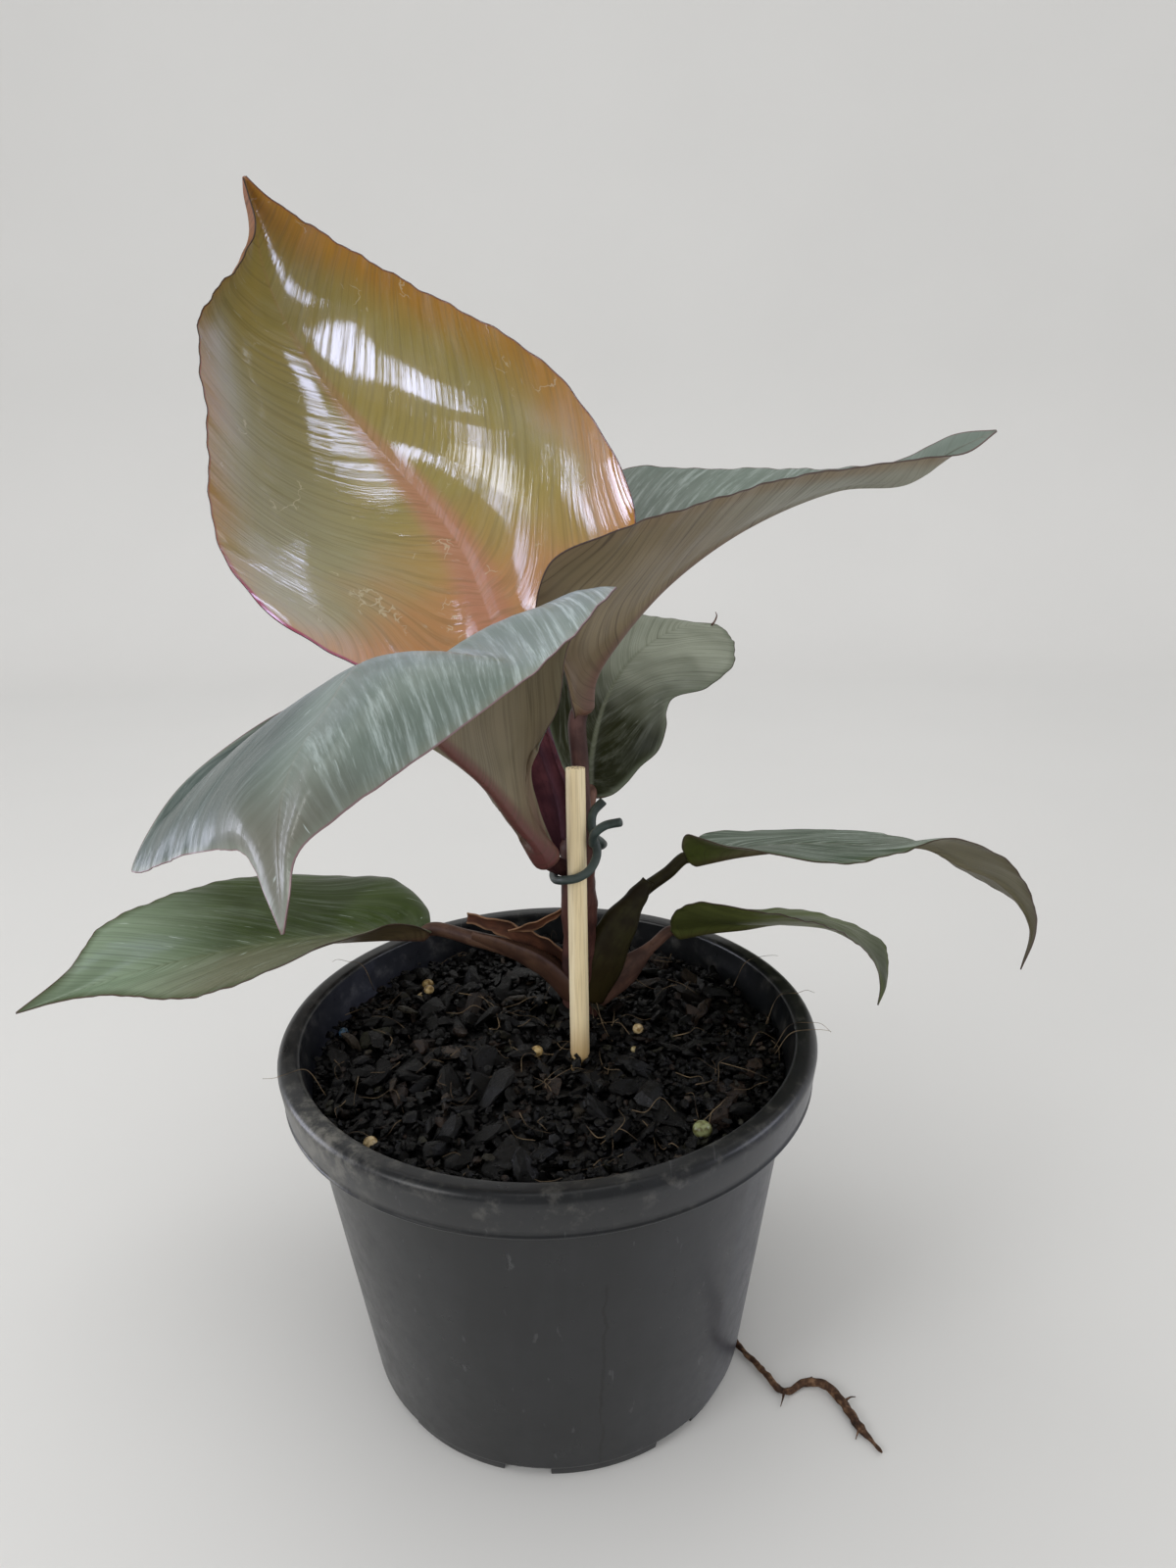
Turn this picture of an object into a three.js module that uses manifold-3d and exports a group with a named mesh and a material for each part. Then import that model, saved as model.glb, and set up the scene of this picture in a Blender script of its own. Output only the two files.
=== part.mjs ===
// Red heart philodendron in a squat nursery pot, with its bark mix, stake and tie.
// Millimetres, +Z up. The origin is the centre of the pot's base, and -Y is the front.

import * as THREE from 'three';
import { mergeVertices } from 'three/addons/utils/BufferGeometryUtils.js';
import Module from 'manifold-3d';

const wasm = await Module();
wasm.setup();

// Driving dimensions of the pot
const RIM_RADIUS = 70;
const POT_HEIGHT = 100;
const WALL = 1.5;
const RIM_WIDTH = 5.8;
const SKIRT_DEPTH = 11.5;
const BODY_TOP_RADIUS = 63.8;
const BODY_BASE_RADIUS = 52.4;
const FOOT_HEIGHT = 3;
const FOOT_RADIUS = 50.8;
const FOOT_WIDTH = 3.6;
const PAD_RADIUS = 9;
const FLOOR_TOP = FOOT_HEIGHT + WALL;
const GAP_COUNT = 8;
const GAP_ANGLE = 13.5;
const FIRST_GAP = -8;
const SLOT_DEPTH = 5;
const POT_SEGMENTS = 40;

// Driving dimensions of the bark mix
const CLEARANCE = 0.3;
const SOIL_TOP = 91.5;
const CHIP_COUNT = 230;
const CHIP_RELIEF = 2.2;
const CHIP_TILT = 0.42;
const SOIL_RINGS = 15;
const SPOKES_PER_RING = 6;
const SOIL_SEED = 7;

// Driving dimensions of the stake, stem, leaves and tie
const STAKE_RADIUS = 2.5;
const STAKE_FOOT = [7.8, -17, 30];
const STAKE_TOP = [8.5, 9, 166.7];
const STEM_RADIUS = 4.8;
const BLADE_THICKNESS = 0.9;
const BLADE_ROWS = 18;
const BLADE_COLUMNS = 3;
const ROW_SPACING = 1.25;
const VEIN_SWEEP = 0.05;
const TIP_STOP = 0.985;
const FULL_BELLY_WIDTH = 12;
const RIB_END = 0.86;
const RIB_TIP_RADIUS = 0.5;
const RIB_COVER = 0.5;
const TIE_RADIUS = 1.15;
const ROOT_RADIUS = 1.15;

const radians = THREE.MathUtils.degToRad;
const lerp = THREE.MathUtils.lerp;

// A small repeatable draw of numbers from 0 to 1
function drawer(seed) {
  let state = seed;
  return () => {
    state = (state + 0x6d2b79f5) | 0;
    let mixed = Math.imul(state ^ (state >>> 15), 1 | state);
    mixed = (mixed + Math.imul(mixed ^ (mixed >>> 7), 61 | mixed)) ^ mixed;
    return ((mixed ^ (mixed >>> 14)) >>> 0) / 4294967296;
  };
}

// Closed meshes and solids
function toSolid(geometry) {
  const bare = geometry.clone();
  bare.deleteAttribute('normal');
  bare.deleteAttribute('uv');
  const merged = mergeVertices(bare, 1e-4);
  return new wasm.Manifold(new wasm.Mesh({
    numProp: 3,
    vertProperties: new Float32Array(merged.attributes.position.array),
    triVerts: new Uint32Array(merged.index.array),
  }));
}

function toGeometry(solid) {
  const mesh = solid.getMesh();
  const geometry = new THREE.BufferGeometry();
  geometry.setAttribute('position', new THREE.BufferAttribute(mesh.vertProperties, 3));
  geometry.setIndex(new THREE.BufferAttribute(mesh.triVerts, 1));
  geometry.computeVertexNormals();
  return geometry;
}

function largestBody(solid) {
  const bodies = solid.decompose();
  bodies.sort((a, b) => b.volume() - a.volume());
  return bodies[0];
}

// A closed mesh from rows of points that all hold the same count
function fromPoints(points, triangles) {
  const geometry = new THREE.BufferGeometry();
  const numbers = points.flatMap((p) => [p.x, p.y, p.z]);
  geometry.setAttribute('position', new THREE.Float32BufferAttribute(numbers, 3));
  geometry.setIndex(triangles);
  return geometry;
}

function curveThrough(points) {
  const curve = new THREE.CatmullRomCurve3(points.map((p) => new THREE.Vector3(...p)), false, 'centripetal');
  curve.arcLengthDivisions = 600;
  return curve;
}

// Reads a short list of [place, value, value...] with smooth steps between its rows
function readStations(stations, place) {
  const last = stations.length - 1;
  if (place <= stations[0][0]) return stations[0].slice(1);
  if (place >= stations[last][0]) return stations[last].slice(1);
  const next = stations.findIndex((row) => row[0] > place);
  const [low, high] = [stations[next - 1], stations[next]];
  const t = THREE.MathUtils.smoothstep(place, low[0], high[0]);
  return low.slice(1).map((value, k) => lerp(value, high[k + 1], t));
}

// A closed rod along a path. Its stations give the half width and the half depth, and wide is
// the direction that its width takes.
function rod(path, stations, { sides = 8, steps = 16, wide = [1, 0, 0], grow = 0 } = {}) {
  const curve = curveThrough(path);
  const across = new THREE.Vector3(...wide);
  const points = [];
  for (let i = 0; i <= steps; i += 1) {
    const place = i / steps;
    const centre = curve.getPointAt(place);
    const along = curve.getTangentAt(place);
    const side = across.clone().addScaledVector(along, -across.dot(along)).normalize();
    const deep = along.clone().cross(side);
    const [halfWidth, halfDepth] = readStations(stations, place);
    if (i === 0) centre.addScaledVector(along, -grow);
    if (i === steps) centre.addScaledVector(along, grow);
    for (let j = 0; j < sides; j += 1) {
      const turn = (j / sides) * 2 * Math.PI;
      points.push(centre.clone()
        .addScaledVector(side, (halfWidth + grow) * Math.cos(turn))
        .addScaledVector(deep, (halfDepth + grow) * Math.sin(turn)));
    }
  }
  const triangles = [];
  for (let i = 0; i < steps; i += 1) {
    for (let j = 0; j < sides; j += 1) {
      const a = i * sides + j;
      const b = i * sides + ((j + 1) % sides);
      triangles.push(a, b, b + sides, a, b + sides, a + sides);
    }
  }
  for (let j = 1; j < sides - 1; j += 1) {
    const end = steps * sides;
    triangles.push(0, j + 1, j, end, end + j, end + j + 1);
  }
  return toSolid(fromPoints(points, triangles));
}

// Points of a leaf's upper face. Rows run from the left margin over the midrib to the right
// margin, seen from above with the tip away. Belly is the lift of each half between the two.
function bladeRows(leaf) {
  const midrib = curveThrough(leaf.midrib);
  const margins = [curveThrough(leaf.left), curveThrough(leaf.right)];
  const rows = [];
  for (let i = 0; i <= BLADE_ROWS; i += 1) {
    const place = (i / BLADE_ROWS) * TIP_STOP;
    const ribPlace = place ** ROW_SPACING;
    const centre = midrib.getPointAt(ribPlace);
    const along = midrib.getTangentAt(THREE.MathUtils.clamp(ribPlace, 0.01, 0.99));
    const belly = readStations(leaf.belly, place);
    const halves = margins.map((margin, half) => {
      const across = margin.getPointAt(place).sub(centre);
      const facing = along.clone().cross(across).multiplyScalar(half === 0 ? 1 : -1);
      const open = Math.min(1, facing.length() / FULL_BELLY_WIDTH);
      facing.normalize();
      const points = [];
      for (let k = 0; k <= BLADE_COLUMNS; k += 1) {
        const part = k / BLADE_COLUMNS;
        const arch = 4 * part * (1 - part);
        points.push(centre.clone()
          .addScaledVector(across, part)
          .addScaledVector(facing, belly[half] * arch * open)
          .addScaledVector(along, -VEIN_SWEEP * across.length() * arch));
      }
      return points;
    });
    rows.push([...halves[0].reverse(), ...halves[1].slice(1)]);
  }
  return rows;
}

function bladeNormals(rows) {
  const lastRow = rows.length - 1;
  const lastColumn = rows[0].length - 1;
  return rows.map((row, i) => row.map((point, j) => {
    const along = rows[Math.min(i + 1, lastRow)][j].clone().sub(rows[Math.max(i - 1, 0)][j]);
    const across = row[Math.min(j + 1, lastColumn)].clone().sub(row[Math.max(j - 1, 0)]);
    return across.cross(along).normalize();
  }));
}

// A leaf is its thin blade, and its stalk that runs on as the rib under the blade
function leafSolid(leaf, grow = 0) {
  const rows = bladeRows(leaf);
  const normals = bladeNormals(rows);
  const columns = rows[0].length;
  const points = [];
  for (const depth of [-grow, BLADE_THICKNESS + grow]) {
    rows.forEach((row, i) => row.forEach((point, j) => {
      points.push(point.clone().addScaledVector(normals[i][j], -depth));
    }));
  }
  const under = rows.length * columns;
  const triangles = [];
  for (let i = 0; i < rows.length - 1; i += 1) {
    for (let j = 0; j < columns - 1; j += 1) {
      const a = i * columns + j;
      const b = a + 1;
      const c = b + columns;
      const d = a + columns;
      triangles.push(a, b, c, a, c, d);
      triangles.push(a + under, c + under, b + under, a + under, d + under, c + under);
    }
  }
  const wall = (a, b) => triangles.push(a, a + under, b + under, a, b + under, b);
  for (let i = 0; i < rows.length - 1; i += 1) {
    wall((i + 1) * columns, i * columns);
    wall(i * columns + columns - 1, (i + 1) * columns + columns - 1);
  }
  for (let j = 0; j < columns - 1; j += 1) {
    wall(j, j + 1);
    wall(under - columns + j + 1, under - columns + j);
  }
  const blade = toSolid(fromPoints(points, triangles));

  const [foot, neck] = leaf.stalkRadius;
  const ribPlaces = [0.11, 0.22, 0.33, 0.44, 0.56, 0.67, 0.78, RIB_END];
  const ribPath = ribPlaces.map((place) => {
    const row = Math.round(place * BLADE_ROWS);
    const radius = lerp(neck, RIB_TIP_RADIUS, THREE.MathUtils.smoothstep(place, 0, RIB_END));
    const normal = normals[row][BLADE_COLUMNS];
    return rows[row][BLADE_COLUMNS].clone().addScaledVector(normal, -radius - RIB_COVER).toArray();
  });
  const path = [...leaf.stalk, ...ribPath];
  const stalkShare = curveThrough(leaf.stalk).getLength() / curveThrough(path).getLength();
  const stations = [[0, foot, foot], [stalkShare, neck, neck], [1, RIB_TIP_RADIUS, RIB_TIP_RADIUS]];
  const stalk = rod(path, stations, { sides: 6, steps: 17, wide: [0.2, 1, 0.1], grow });
  let solid = blade.add(stalk);
  if (leaf.sheath) {
    const { path: sheathPath, stations: sheathStations, wide } = leaf.sheath;
    solid = solid.add(rod(sheathPath, sheathStations, { sides: 8, steps: 8, wide, grow }));
  }
  return solid;
}

// Seven leaves, oldest last. Points are in millimetres, from the blade's base to its tip.
const LEAVES = {
  leaf_upright: {
    stalk: [[6.4, 13.5, 146], [5, 14, 157], [1.5, 14, 170], [-3, 15, 184], [-7, 17, 192]],
    stalkRadius: [2.1, 2.4],
    midrib: [[-7, 17, 192], [-13, 26, 203], [-20, 35, 218], [-32, 44, 233], [-43, 49, 245], [-54, 51, 259],
      [-62, 48, 273], [-65, 40, 286], [-64, 32, 295], [-63, 23, 304]],
    left: [[-8, 16, 192], [-24, 12, 187], [-44, 10, 194], [-66, 11, 208], [-77, 16, 225], [-78, 23, 252],
      [-77, 25, 275], [-67, 26, 286], [-62, 25, 293], [-63, 23, 304]],
    right: [[-6, 17, 193], [7, 10, 196], [19, 8, 212], [24, 11, 226], [16, 20, 248], [1, 27, 265],
      [-29, 33, 282], [-45, 33, 291], [-53, 29, 296], [-59, 26, 300], [-63, 23, 304]],
    belly: [[0, 0, 0], [0.2, -6, -5], [0.5, -10, -8], [0.75, -7, -4], [0.9, -2, -1], [1, 0, 0]],
    colour: 0xa6824e,
  },
  leaf_right: {
    stalk: [[10.6, 13, 146], [10, 14.5, 157], [9.6, 15.5, 167], [9.4, 16, 178]],
    stalkRadius: [2.1, 2.4],
    midrib: [[9.4, 16, 178], [11, 16, 188], [19, 15, 200], [32, 16, 213], [51, 18, 225], [74, 21, 233],
      [92, 24, 234], [103, 25, 241], [114, 26, 246]],
    left: [[10.5, 18, 178], [10, 32, 198], [6, 44, 222], [23, 52, 237], [43, 50, 237], [61, 46, 237],
      [76, 38, 237], [92, 33, 239], [104, 29, 245], [114, 26, 246]],
    right: [[8.5, 14, 178], [6, 5, 194], [1, -6, 206], [1, -12, 213], [5, -17, 222], [18, -18, 228],
      [39, -8, 233], [59, 4, 237], [83, 16, 239], [95, 21, 240], [106, 23, 241], [114, 26, 246]],
    belly: [[0, 0, 0], [0.3, -3, -3], [0.6, -2, -2], [1, 0, 0]],
    colour: 0x77786a,
  },
  leaf_front: {
    stalk: [[8.5, 12, 138], [5, 8.5, 139.5], [2, 6, 142]],
    stalkRadius: [2.1, 2.3],
    midrib: [[2, 6, 142], [-5, -2, 155], [-11, -12, 169], [-19, -25, 183], [-27, -37, 197], [-31, -46, 206],
      [-36, -60, 200], [-40, -71, 193], [-41, -80, 185], [-40, -87, 178], [-39, -92, 171]],
    left: [[4, 6, 143], [-1, 3, 159], [-2, -3, 172], [5, -10, 187], [8, -22, 204], [13, -33, 214],
      [18, -41, 220], [5, -56, 209], [-14, -68, 197], [-30, -79, 188], [-37, -85, 183], [-38, -89, 177],
      [-39, -92, 171]],
    right: [[-1, 8, 141], [-8, 3, 154], [-14, -4, 167], [-23, -11, 180], [-33, -19, 194], [-48, -28, 195],
      [-67, -38, 185], [-75, -46, 177], [-80, -52, 167], [-63, -64, 175], [-48, -78, 180], [-43, -86, 176],
      [-39, -92, 171]],
    belly: [[0, 0, 0], [0.15, 1, 1], [0.3, 4, 2], [0.44, 9, 2], [0.5, 10.5, 2], [0.56, 10.5, 3],
      [0.64, 2.5, 3], [0.72, 5, 3], [0.85, 4.5, 3], [1, 0, 0]],
    colour: 0x71827b,
  },
  leaf_back: {
    stalk: [[9.8, 16.5, 145], [11, 18.5, 150], [12, 20, 155]],
    stalkRadius: [1.9, 1.9],
    midrib: [[12, 20, 155], [13, 27, 164], [17, 42, 175], [25, 60, 183], [39, 77, 188], [53, 88, 188]],
    left: [[11, 21, 155], [4, 30, 161], [0, 44, 174], [6, 60, 187], [17, 72, 192], [31, 82, 192],
      [45, 87, 189], [53, 88, 188]],
    right: [[13.5, 19.5, 155], [18, 21, 155], [22, 24, 157], [26, 28, 160], [31, 34, 163], [34, 42, 168],
      [36, 50, 173], [48, 62, 174], [57, 74, 178], [58, 82, 183], [56, 87, 186], [53, 88, 188]],
    belly: [[0, 0, 0], [0.3, -3, 3], [0.6, 3, 4], [1, 0, 0]],
    colour: 0x5a6151,
  },
  leaf_low_left: {
    stalk: [[8, 18, 97], [-1, 22, 104], [-12, 25, 108], [-23, 28, 110], [-34, 30, 112]],
    stalkRadius: [3.1, 2],
    midrib: [[-34, 30, 112], [-46, 29, 112], [-65, 26, 112], [-83, 23, 111], [-103, 19, 109],
      [-123, 16, 105], [-136, 14, 101], [-149, 13, 97]],
    left: [[-34, 27, 112], [-37, 20, 118], [-43, 15, 121], [-51, 9, 121], [-60, 4, 120], [-74, 0, 115],
      [-96, 2, 107], [-120, 8, 105], [-136, 12, 101], [-149, 13, 97]],
    right: [[-35, 33, 111], [-37, 42, 113], [-48, 52, 118], [-70, 54, 119], [-88, 51, 121], [-102, 45, 121],
      [-116, 35, 120], [-127, 25, 117], [-133, 16, 109], [-149, 13, 97]],
    belly: [[0, 0, 0], [0.3, 0, 3], [0.6, 0, 2], [1, 0, 0]],
    colour: 0x47583c,
  },
  leaf_mid_right: {
    stalk: [[9, 18, 101], [18, 19, 117], [26, 20, 127], [33, 21, 132], [38, 22, 136]],
    stalkRadius: [2.6, 1.7],
    midrib: [[38, 22, 136], [44, 22, 137], [57, 21, 139], [71, 20, 140], [87, 18, 140], [101, 15, 141],
      [111, 13, 136], [120, 12, 132], [127, 10, 125], [130, 9, 117], [128, 9, 106]],
    left: [[38, 24, 135], [41, 32, 136], [46, 40, 136], [64, 44, 135], [89, 42, 135], [103, 34, 135],
      [110, 25, 133], [119, 21, 128], [127, 16, 124], [130, 11, 118], [128, 9, 106]],
    right: [[38, 20, 137], [36, 13, 143], [37, 7, 149], [41, 3, 149], [47, 0, 148], [58, -3, 147],
      [74, -3, 144], [90, 1, 145], [99, 3, 147], [106, 2, 148], [119, 2, 141], [127, 4, 129], [130, 7, 118],
      [128, 9, 106]],
    belly: [[0, 0, 0], [1, 0, 0]],
    sheath: {
      path: [[10, 18, 97], [15, 17, 110], [20, 17, 120], [27.5, 19, 131]],
      stations: [[0, 4.5, 2.6], [0.5, 4.4, 2.2], [0.85, 2.4, 1.4], [1, 1.5, 1]],
      wide: [0.7, -0.2, -0.5],
    },
    colour: 0x6a7466,
  },
  leaf_low_right: {
    stalk: [[10, 20, 93.5], [22, 25, 101.5], [29, 28, 106], [35, 30, 110]],
    stalkRadius: [1.9, 1.6],
    midrib: [[35, 30, 110], [47, 30, 111], [56, 31, 111], [65, 33, 111], [79, 36, 109], [90, 38, 103],
      [98, 38, 93], [100, 37, 87], [98, 36, 80]],
    left: [[36, 33, 109], [40, 44, 107], [53, 52, 106], [64, 55, 104], [73, 56, 104], [91, 54, 100],
      [102, 48, 95], [102, 42, 91], [101, 39, 85], [98, 36, 80]],
    right: [[35, 28, 112], [34, 20, 119], [37, 13, 126], [43, 10, 128], [53, 10, 126], [65, 13, 122],
      [75, 18, 117], [83, 24, 111], [95, 33, 97], [98, 35, 88], [98, 36, 80]],
    belly: [[0, 0, 0], [0.4, -2, -2], [1, 0, 0]],
    sheath: {
      path: [[13, 20, 95], [20, 23, 101], [29, 28, 106.5]],
      stations: [[0, 3.2, 2], [0.5, 3.8, 1.8], [1, 1.5, 1.3]],
      wide: [0.4, 0, -0.9],
    },
    colour: 0x616a3c,
  },
};

// The short stem, with a swelling at each old leaf scar
const STEM_PATH = [[8.4, 20, 64], [8.4, 19, 92], [8.6, 16.5, 115], [8.6, 13.5, 136], [8.6, 13.6, 147.5]];
const STEM_SWELLS = [[0, 0.9], [0.33, 1.12], [0.42, 1.0], [0.52, 1.06], [0.62, 0.94], [0.72, 1.03],
  [0.84, 0.94], [0.95, 1], [1, 0.7]];
const STEM_STATIONS = STEM_SWELLS.map(([place, swell]) => [place, STEM_RADIUS * swell, STEM_RADIUS * swell]);

function stemSolid(grow = 0) {
  return rod(STEM_PATH, STEM_STATIONS, { sides: 10, steps: 16, grow });
}

function stakeSolid(grow = 0) {
  const ends = [[0, STAKE_RADIUS, STAKE_RADIUS], [1, STAKE_RADIUS, STAKE_RADIUS]];
  return rod([STAKE_FOOT, STAKE_TOP], ends, { sides: 14, steps: 1, grow });
}

// The pot: one turned wall with its rolled rim, hanging skirt, floor and foot ring
function potSolid() {
  const rimInner = RIM_RADIUS - RIM_WIDTH;
  const skirtBottom = POT_HEIGHT - SKIRT_DEPTH;
  const underRim = POT_HEIGHT - 2.4;
  const profile = [
    [0, 0],
    [PAD_RADIUS, 0],
    [PAD_RADIUS + 1, FOOT_HEIGHT],
    [FOOT_RADIUS - FOOT_WIDTH, FOOT_HEIGHT],
    [FOOT_RADIUS - FOOT_WIDTH + 0.6, 0],
    [FOOT_RADIUS, 0],
    [FOOT_RADIUS + 0.5, FOOT_HEIGHT],
    [BODY_BASE_RADIUS - 0.5, FOOT_HEIGHT + 0.2],
    [BODY_BASE_RADIUS, FOOT_HEIGHT + 1],
    [BODY_TOP_RADIUS, skirtBottom + 2],
    [BODY_TOP_RADIUS + 0.5, underRim],
    [RIM_RADIUS - WALL - 0.5, underRim],
    [RIM_RADIUS - WALL - 0.9, skirtBottom],
    [RIM_RADIUS - 0.9, skirtBottom],
    [RIM_RADIUS - 0.6, skirtBottom + 0.8],
    [RIM_RADIUS - 0.9, skirtBottom + 1.6],
    [RIM_RADIUS, POT_HEIGHT - 2.2],
    [RIM_RADIUS - 0.6, POT_HEIGHT - 0.7],
    [RIM_RADIUS - 1.9, POT_HEIGHT],
    [rimInner + 1.1, POT_HEIGHT],
    [rimInner, POT_HEIGHT - 0.8],
    [rimInner - 0.8, POT_HEIGHT - 4],
    [BODY_TOP_RADIUS - WALL, skirtBottom],
    [BODY_BASE_RADIUS - WALL, FLOOR_TOP + 1],
    [BODY_BASE_RADIUS - WALL - 1.2, FLOOR_TOP],
    [0, FLOOR_TOP],
  ].map(([r, z]) => new THREE.Vector2(r, z));
  const turned = new THREE.LatheGeometry(profile, POT_SEGMENTS);
  turned.rotateX(Math.PI / 2);
  let solid = toSolid(turned);
  const gapWidth = 2 * FOOT_RADIUS * Math.sin(radians(GAP_ANGLE / 2));
  for (let i = 0; i < GAP_COUNT; i += 1) {
    const turn = radians(FIRST_GAP + (i * 360) / GAP_COUNT);
    const gap = new THREE.BoxGeometry(FOOT_WIDTH + 5, gapWidth, 2 * FOOT_HEIGHT);
    gap.translate(FOOT_RADIUS - FOOT_WIDTH / 2, 0, 0);
    gap.rotateZ(turn);
    const slot = new THREE.BoxGeometry(SLOT_DEPTH, gapWidth - 2, 4 * WALL);
    slot.translate(FOOT_RADIUS - FOOT_WIDTH - 1, 0, FLOOR_TOP);
    slot.rotateZ(turn);
    solid = solid.subtract(toSolid(gap)).subtract(toSolid(slot));
  }
  return solid;
}

function potInnerRadius(z) {
  const low = FLOOR_TOP + 1;
  const high = POT_HEIGHT - SKIRT_DEPTH;
  return lerp(BODY_BASE_RADIUS, BODY_TOP_RADIUS, (z - low) / (high - low)) - WALL;
}

// The bark mix: a plug in the pot whose top is covered by tilted chips. Each point of the top
// takes the height of the nearest chip's plane.
function soilSolid() {
  const draw = drawer(SOIL_SEED);
  const edge = potInnerRadius(SOIL_TOP) * Math.cos(Math.PI / POT_SEGMENTS) - CLEARANCE - 0.2;
  const chips = [];
  for (let i = 0; i < CHIP_COUNT; i += 1) {
    const radius = edge * Math.sqrt(draw());
    const turn = draw() * 2 * Math.PI;
    chips.push({
      x: radius * Math.cos(turn),
      y: radius * Math.sin(turn),
      lift: (draw() * 2 - 1) * CHIP_RELIEF,
      slopeX: (draw() * 2 - 1) * CHIP_TILT,
      slopeY: (draw() * 2 - 1) * CHIP_TILT,
    });
  }
  const chipHeight = (x, y) => {
    let nearest = chips[0];
    let best = Infinity;
    for (const chip of chips) {
      const distance = (x - chip.x) ** 2 + (y - chip.y) ** 2;
      if (distance < best) {
        best = distance;
        nearest = chip;
      }
    }
    return nearest.lift + nearest.slopeX * (x - nearest.x) + nearest.slopeY * (y - nearest.y);
  };
  const points = [new THREE.Vector3(0, 0, SOIL_TOP + chipHeight(0, 0))];
  const ringStart = [0];
  for (let ring = 1; ring <= SOIL_RINGS; ring += 1) {
    ringStart.push(points.length);
    const count = ring * SPOKES_PER_RING;
    for (let i = 0; i < count; i += 1) {
      const turn = ((i + (ring % 2) * 0.5) / count) * 2 * Math.PI;
      const radius = (ring / SOIL_RINGS) * edge;
      const [x, y] = [radius * Math.cos(turn), radius * Math.sin(turn)];
      const lift = ring === SOIL_RINGS ? -1 : chipHeight(x, y);
      points.push(new THREE.Vector3(x, y, SOIL_TOP + lift));
    }
  }
  const rimCount = SOIL_RINGS * SPOKES_PER_RING;
  const floorStart = points.length;
  const floorZ = FLOOR_TOP + 1 + CLEARANCE;
  const floorRadius = potInnerRadius(floorZ) * Math.cos(Math.PI / POT_SEGMENTS) - CLEARANCE - 0.9;
  for (let i = 0; i < rimCount; i += 1) {
    const top = points[ringStart[SOIL_RINGS] + i];
    const scale = floorRadius / Math.hypot(top.x, top.y);
    points.push(new THREE.Vector3(top.x * scale, top.y * scale, floorZ));
  }
  const floorCentre = points.length;
  points.push(new THREE.Vector3(0, 0, floorZ));

  const triangles = [];
  for (let ring = 1; ring <= SOIL_RINGS; ring += 1) {
    const [innerCount, outerCount] = [(ring - 1) * SPOKES_PER_RING, ring * SPOKES_PER_RING];
    joinRings(triangles, points, ringStart[ring - 1], innerCount, ringStart[ring], outerCount);
  }
  for (let i = 0; i < rimCount; i += 1) {
    const next = (i + 1) % rimCount;
    const [a, b] = [ringStart[SOIL_RINGS] + i, ringStart[SOIL_RINGS] + next];
    const [c, d] = [floorStart + i, floorStart + next];
    triangles.push(a, c, d, a, d, b, c, floorCentre, d);
  }
  return toSolid(fromPoints(points, triangles));
}

// Triangles between an inner and an outer ring of points, walked by their angle
function joinRings(triangles, points, innerStart, innerCount, outerStart, outerCount) {
  const angle = (index) => {
    const turn = Math.atan2(points[index].y, points[index].x);
    return turn < -1e-9 ? turn + 2 * Math.PI : Math.max(turn, 0);
  };
  if (innerCount === 0) {
    for (let i = 0; i < outerCount; i += 1) {
      triangles.push(innerStart, outerStart + i, outerStart + ((i + 1) % outerCount));
    }
    return;
  }
  let inner = 0;
  let outer = 0;
  while (inner < innerCount || outer < outerCount) {
    const a = innerStart + (inner % innerCount);
    const b = outerStart + (outer % outerCount);
    const innerNext = innerStart + ((inner + 1) % innerCount);
    const outerNext = outerStart + ((outer + 1) % outerCount);
    const innerTurn = angle(innerNext) + (inner + 1 >= innerCount ? 2 * Math.PI : 0);
    const outerTurn = angle(outerNext) + (outer + 1 >= outerCount ? 2 * Math.PI : 0);
    if (outer < outerCount && (inner >= innerCount || outerTurn <= innerTurn)) {
      triangles.push(a, b, outerNext);
      outer += 1;
    } else {
      triangles.push(a, b, innerNext);
      inner += 1;
    }
  }
}

// The soft tie: one loop round stake and stem, twisted once, with both ends poking up
const TIE_LOOP = [[12.4, 4.5, 150], [13.6, 2.6, 146], [11.8, 0.4, 142.4], [8.6, -0.2, 140.4],
  [4.9, 1.2, 139.2], [2.6, 6, 137.5], [2.3, 13, 137], [5, 19.4, 137.5], [10, 20, 139.5], [14.8, 16, 142.5],
  [14.8, 9.5, 146], [12.6, 5, 149.5]];
const TIE_LONG_END = [[12.6, 3.8, 147.5], [12.9, 2.4, 151], [15.6, 1.2, 153.8], [19.8, 0, 155.2]];
const TIE_SHORT_END = [[13.6, 5, 148.2], [12.4, 6.4, 151.5], [12.9, 8, 155], [15.6, 9, 157.7]];

function tieSolid() {
  const stations = [[0, TIE_RADIUS, TIE_RADIUS], [1, TIE_RADIUS, TIE_RADIUS]];
  const loop = rod(TIE_LOOP, stations, { sides: 5, steps: 24, wide: [0.1, 0.2, 1] });
  const longEnd = rod(TIE_LONG_END, stations, { sides: 5, steps: 6, wide: [0.1, 1, 0.1] });
  const shortEnd = rod(TIE_SHORT_END, stations, { sides: 5, steps: 6, wide: [0.1, 1, 0.1] });
  return loop.add(longEnd).add(shortEnd);
}

// Dry sheath remains left of the stem
function drySheathSolid(grow = 0) {
  const path = [[7, 21, 101], [-1, 23, 107.5], [-12, 25.5, 113], [-23.7, 28.5, 116]];
  const stations = [[0, 3.4, 1.1], [0.3, 4, 1], [0.7, 2.6, 0.8], [1, 1.7, 0.8]];
  return rod(path, stations, { sides: 8, steps: 12, wide: [0.2, -0.3, 1], grow });
}

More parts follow.
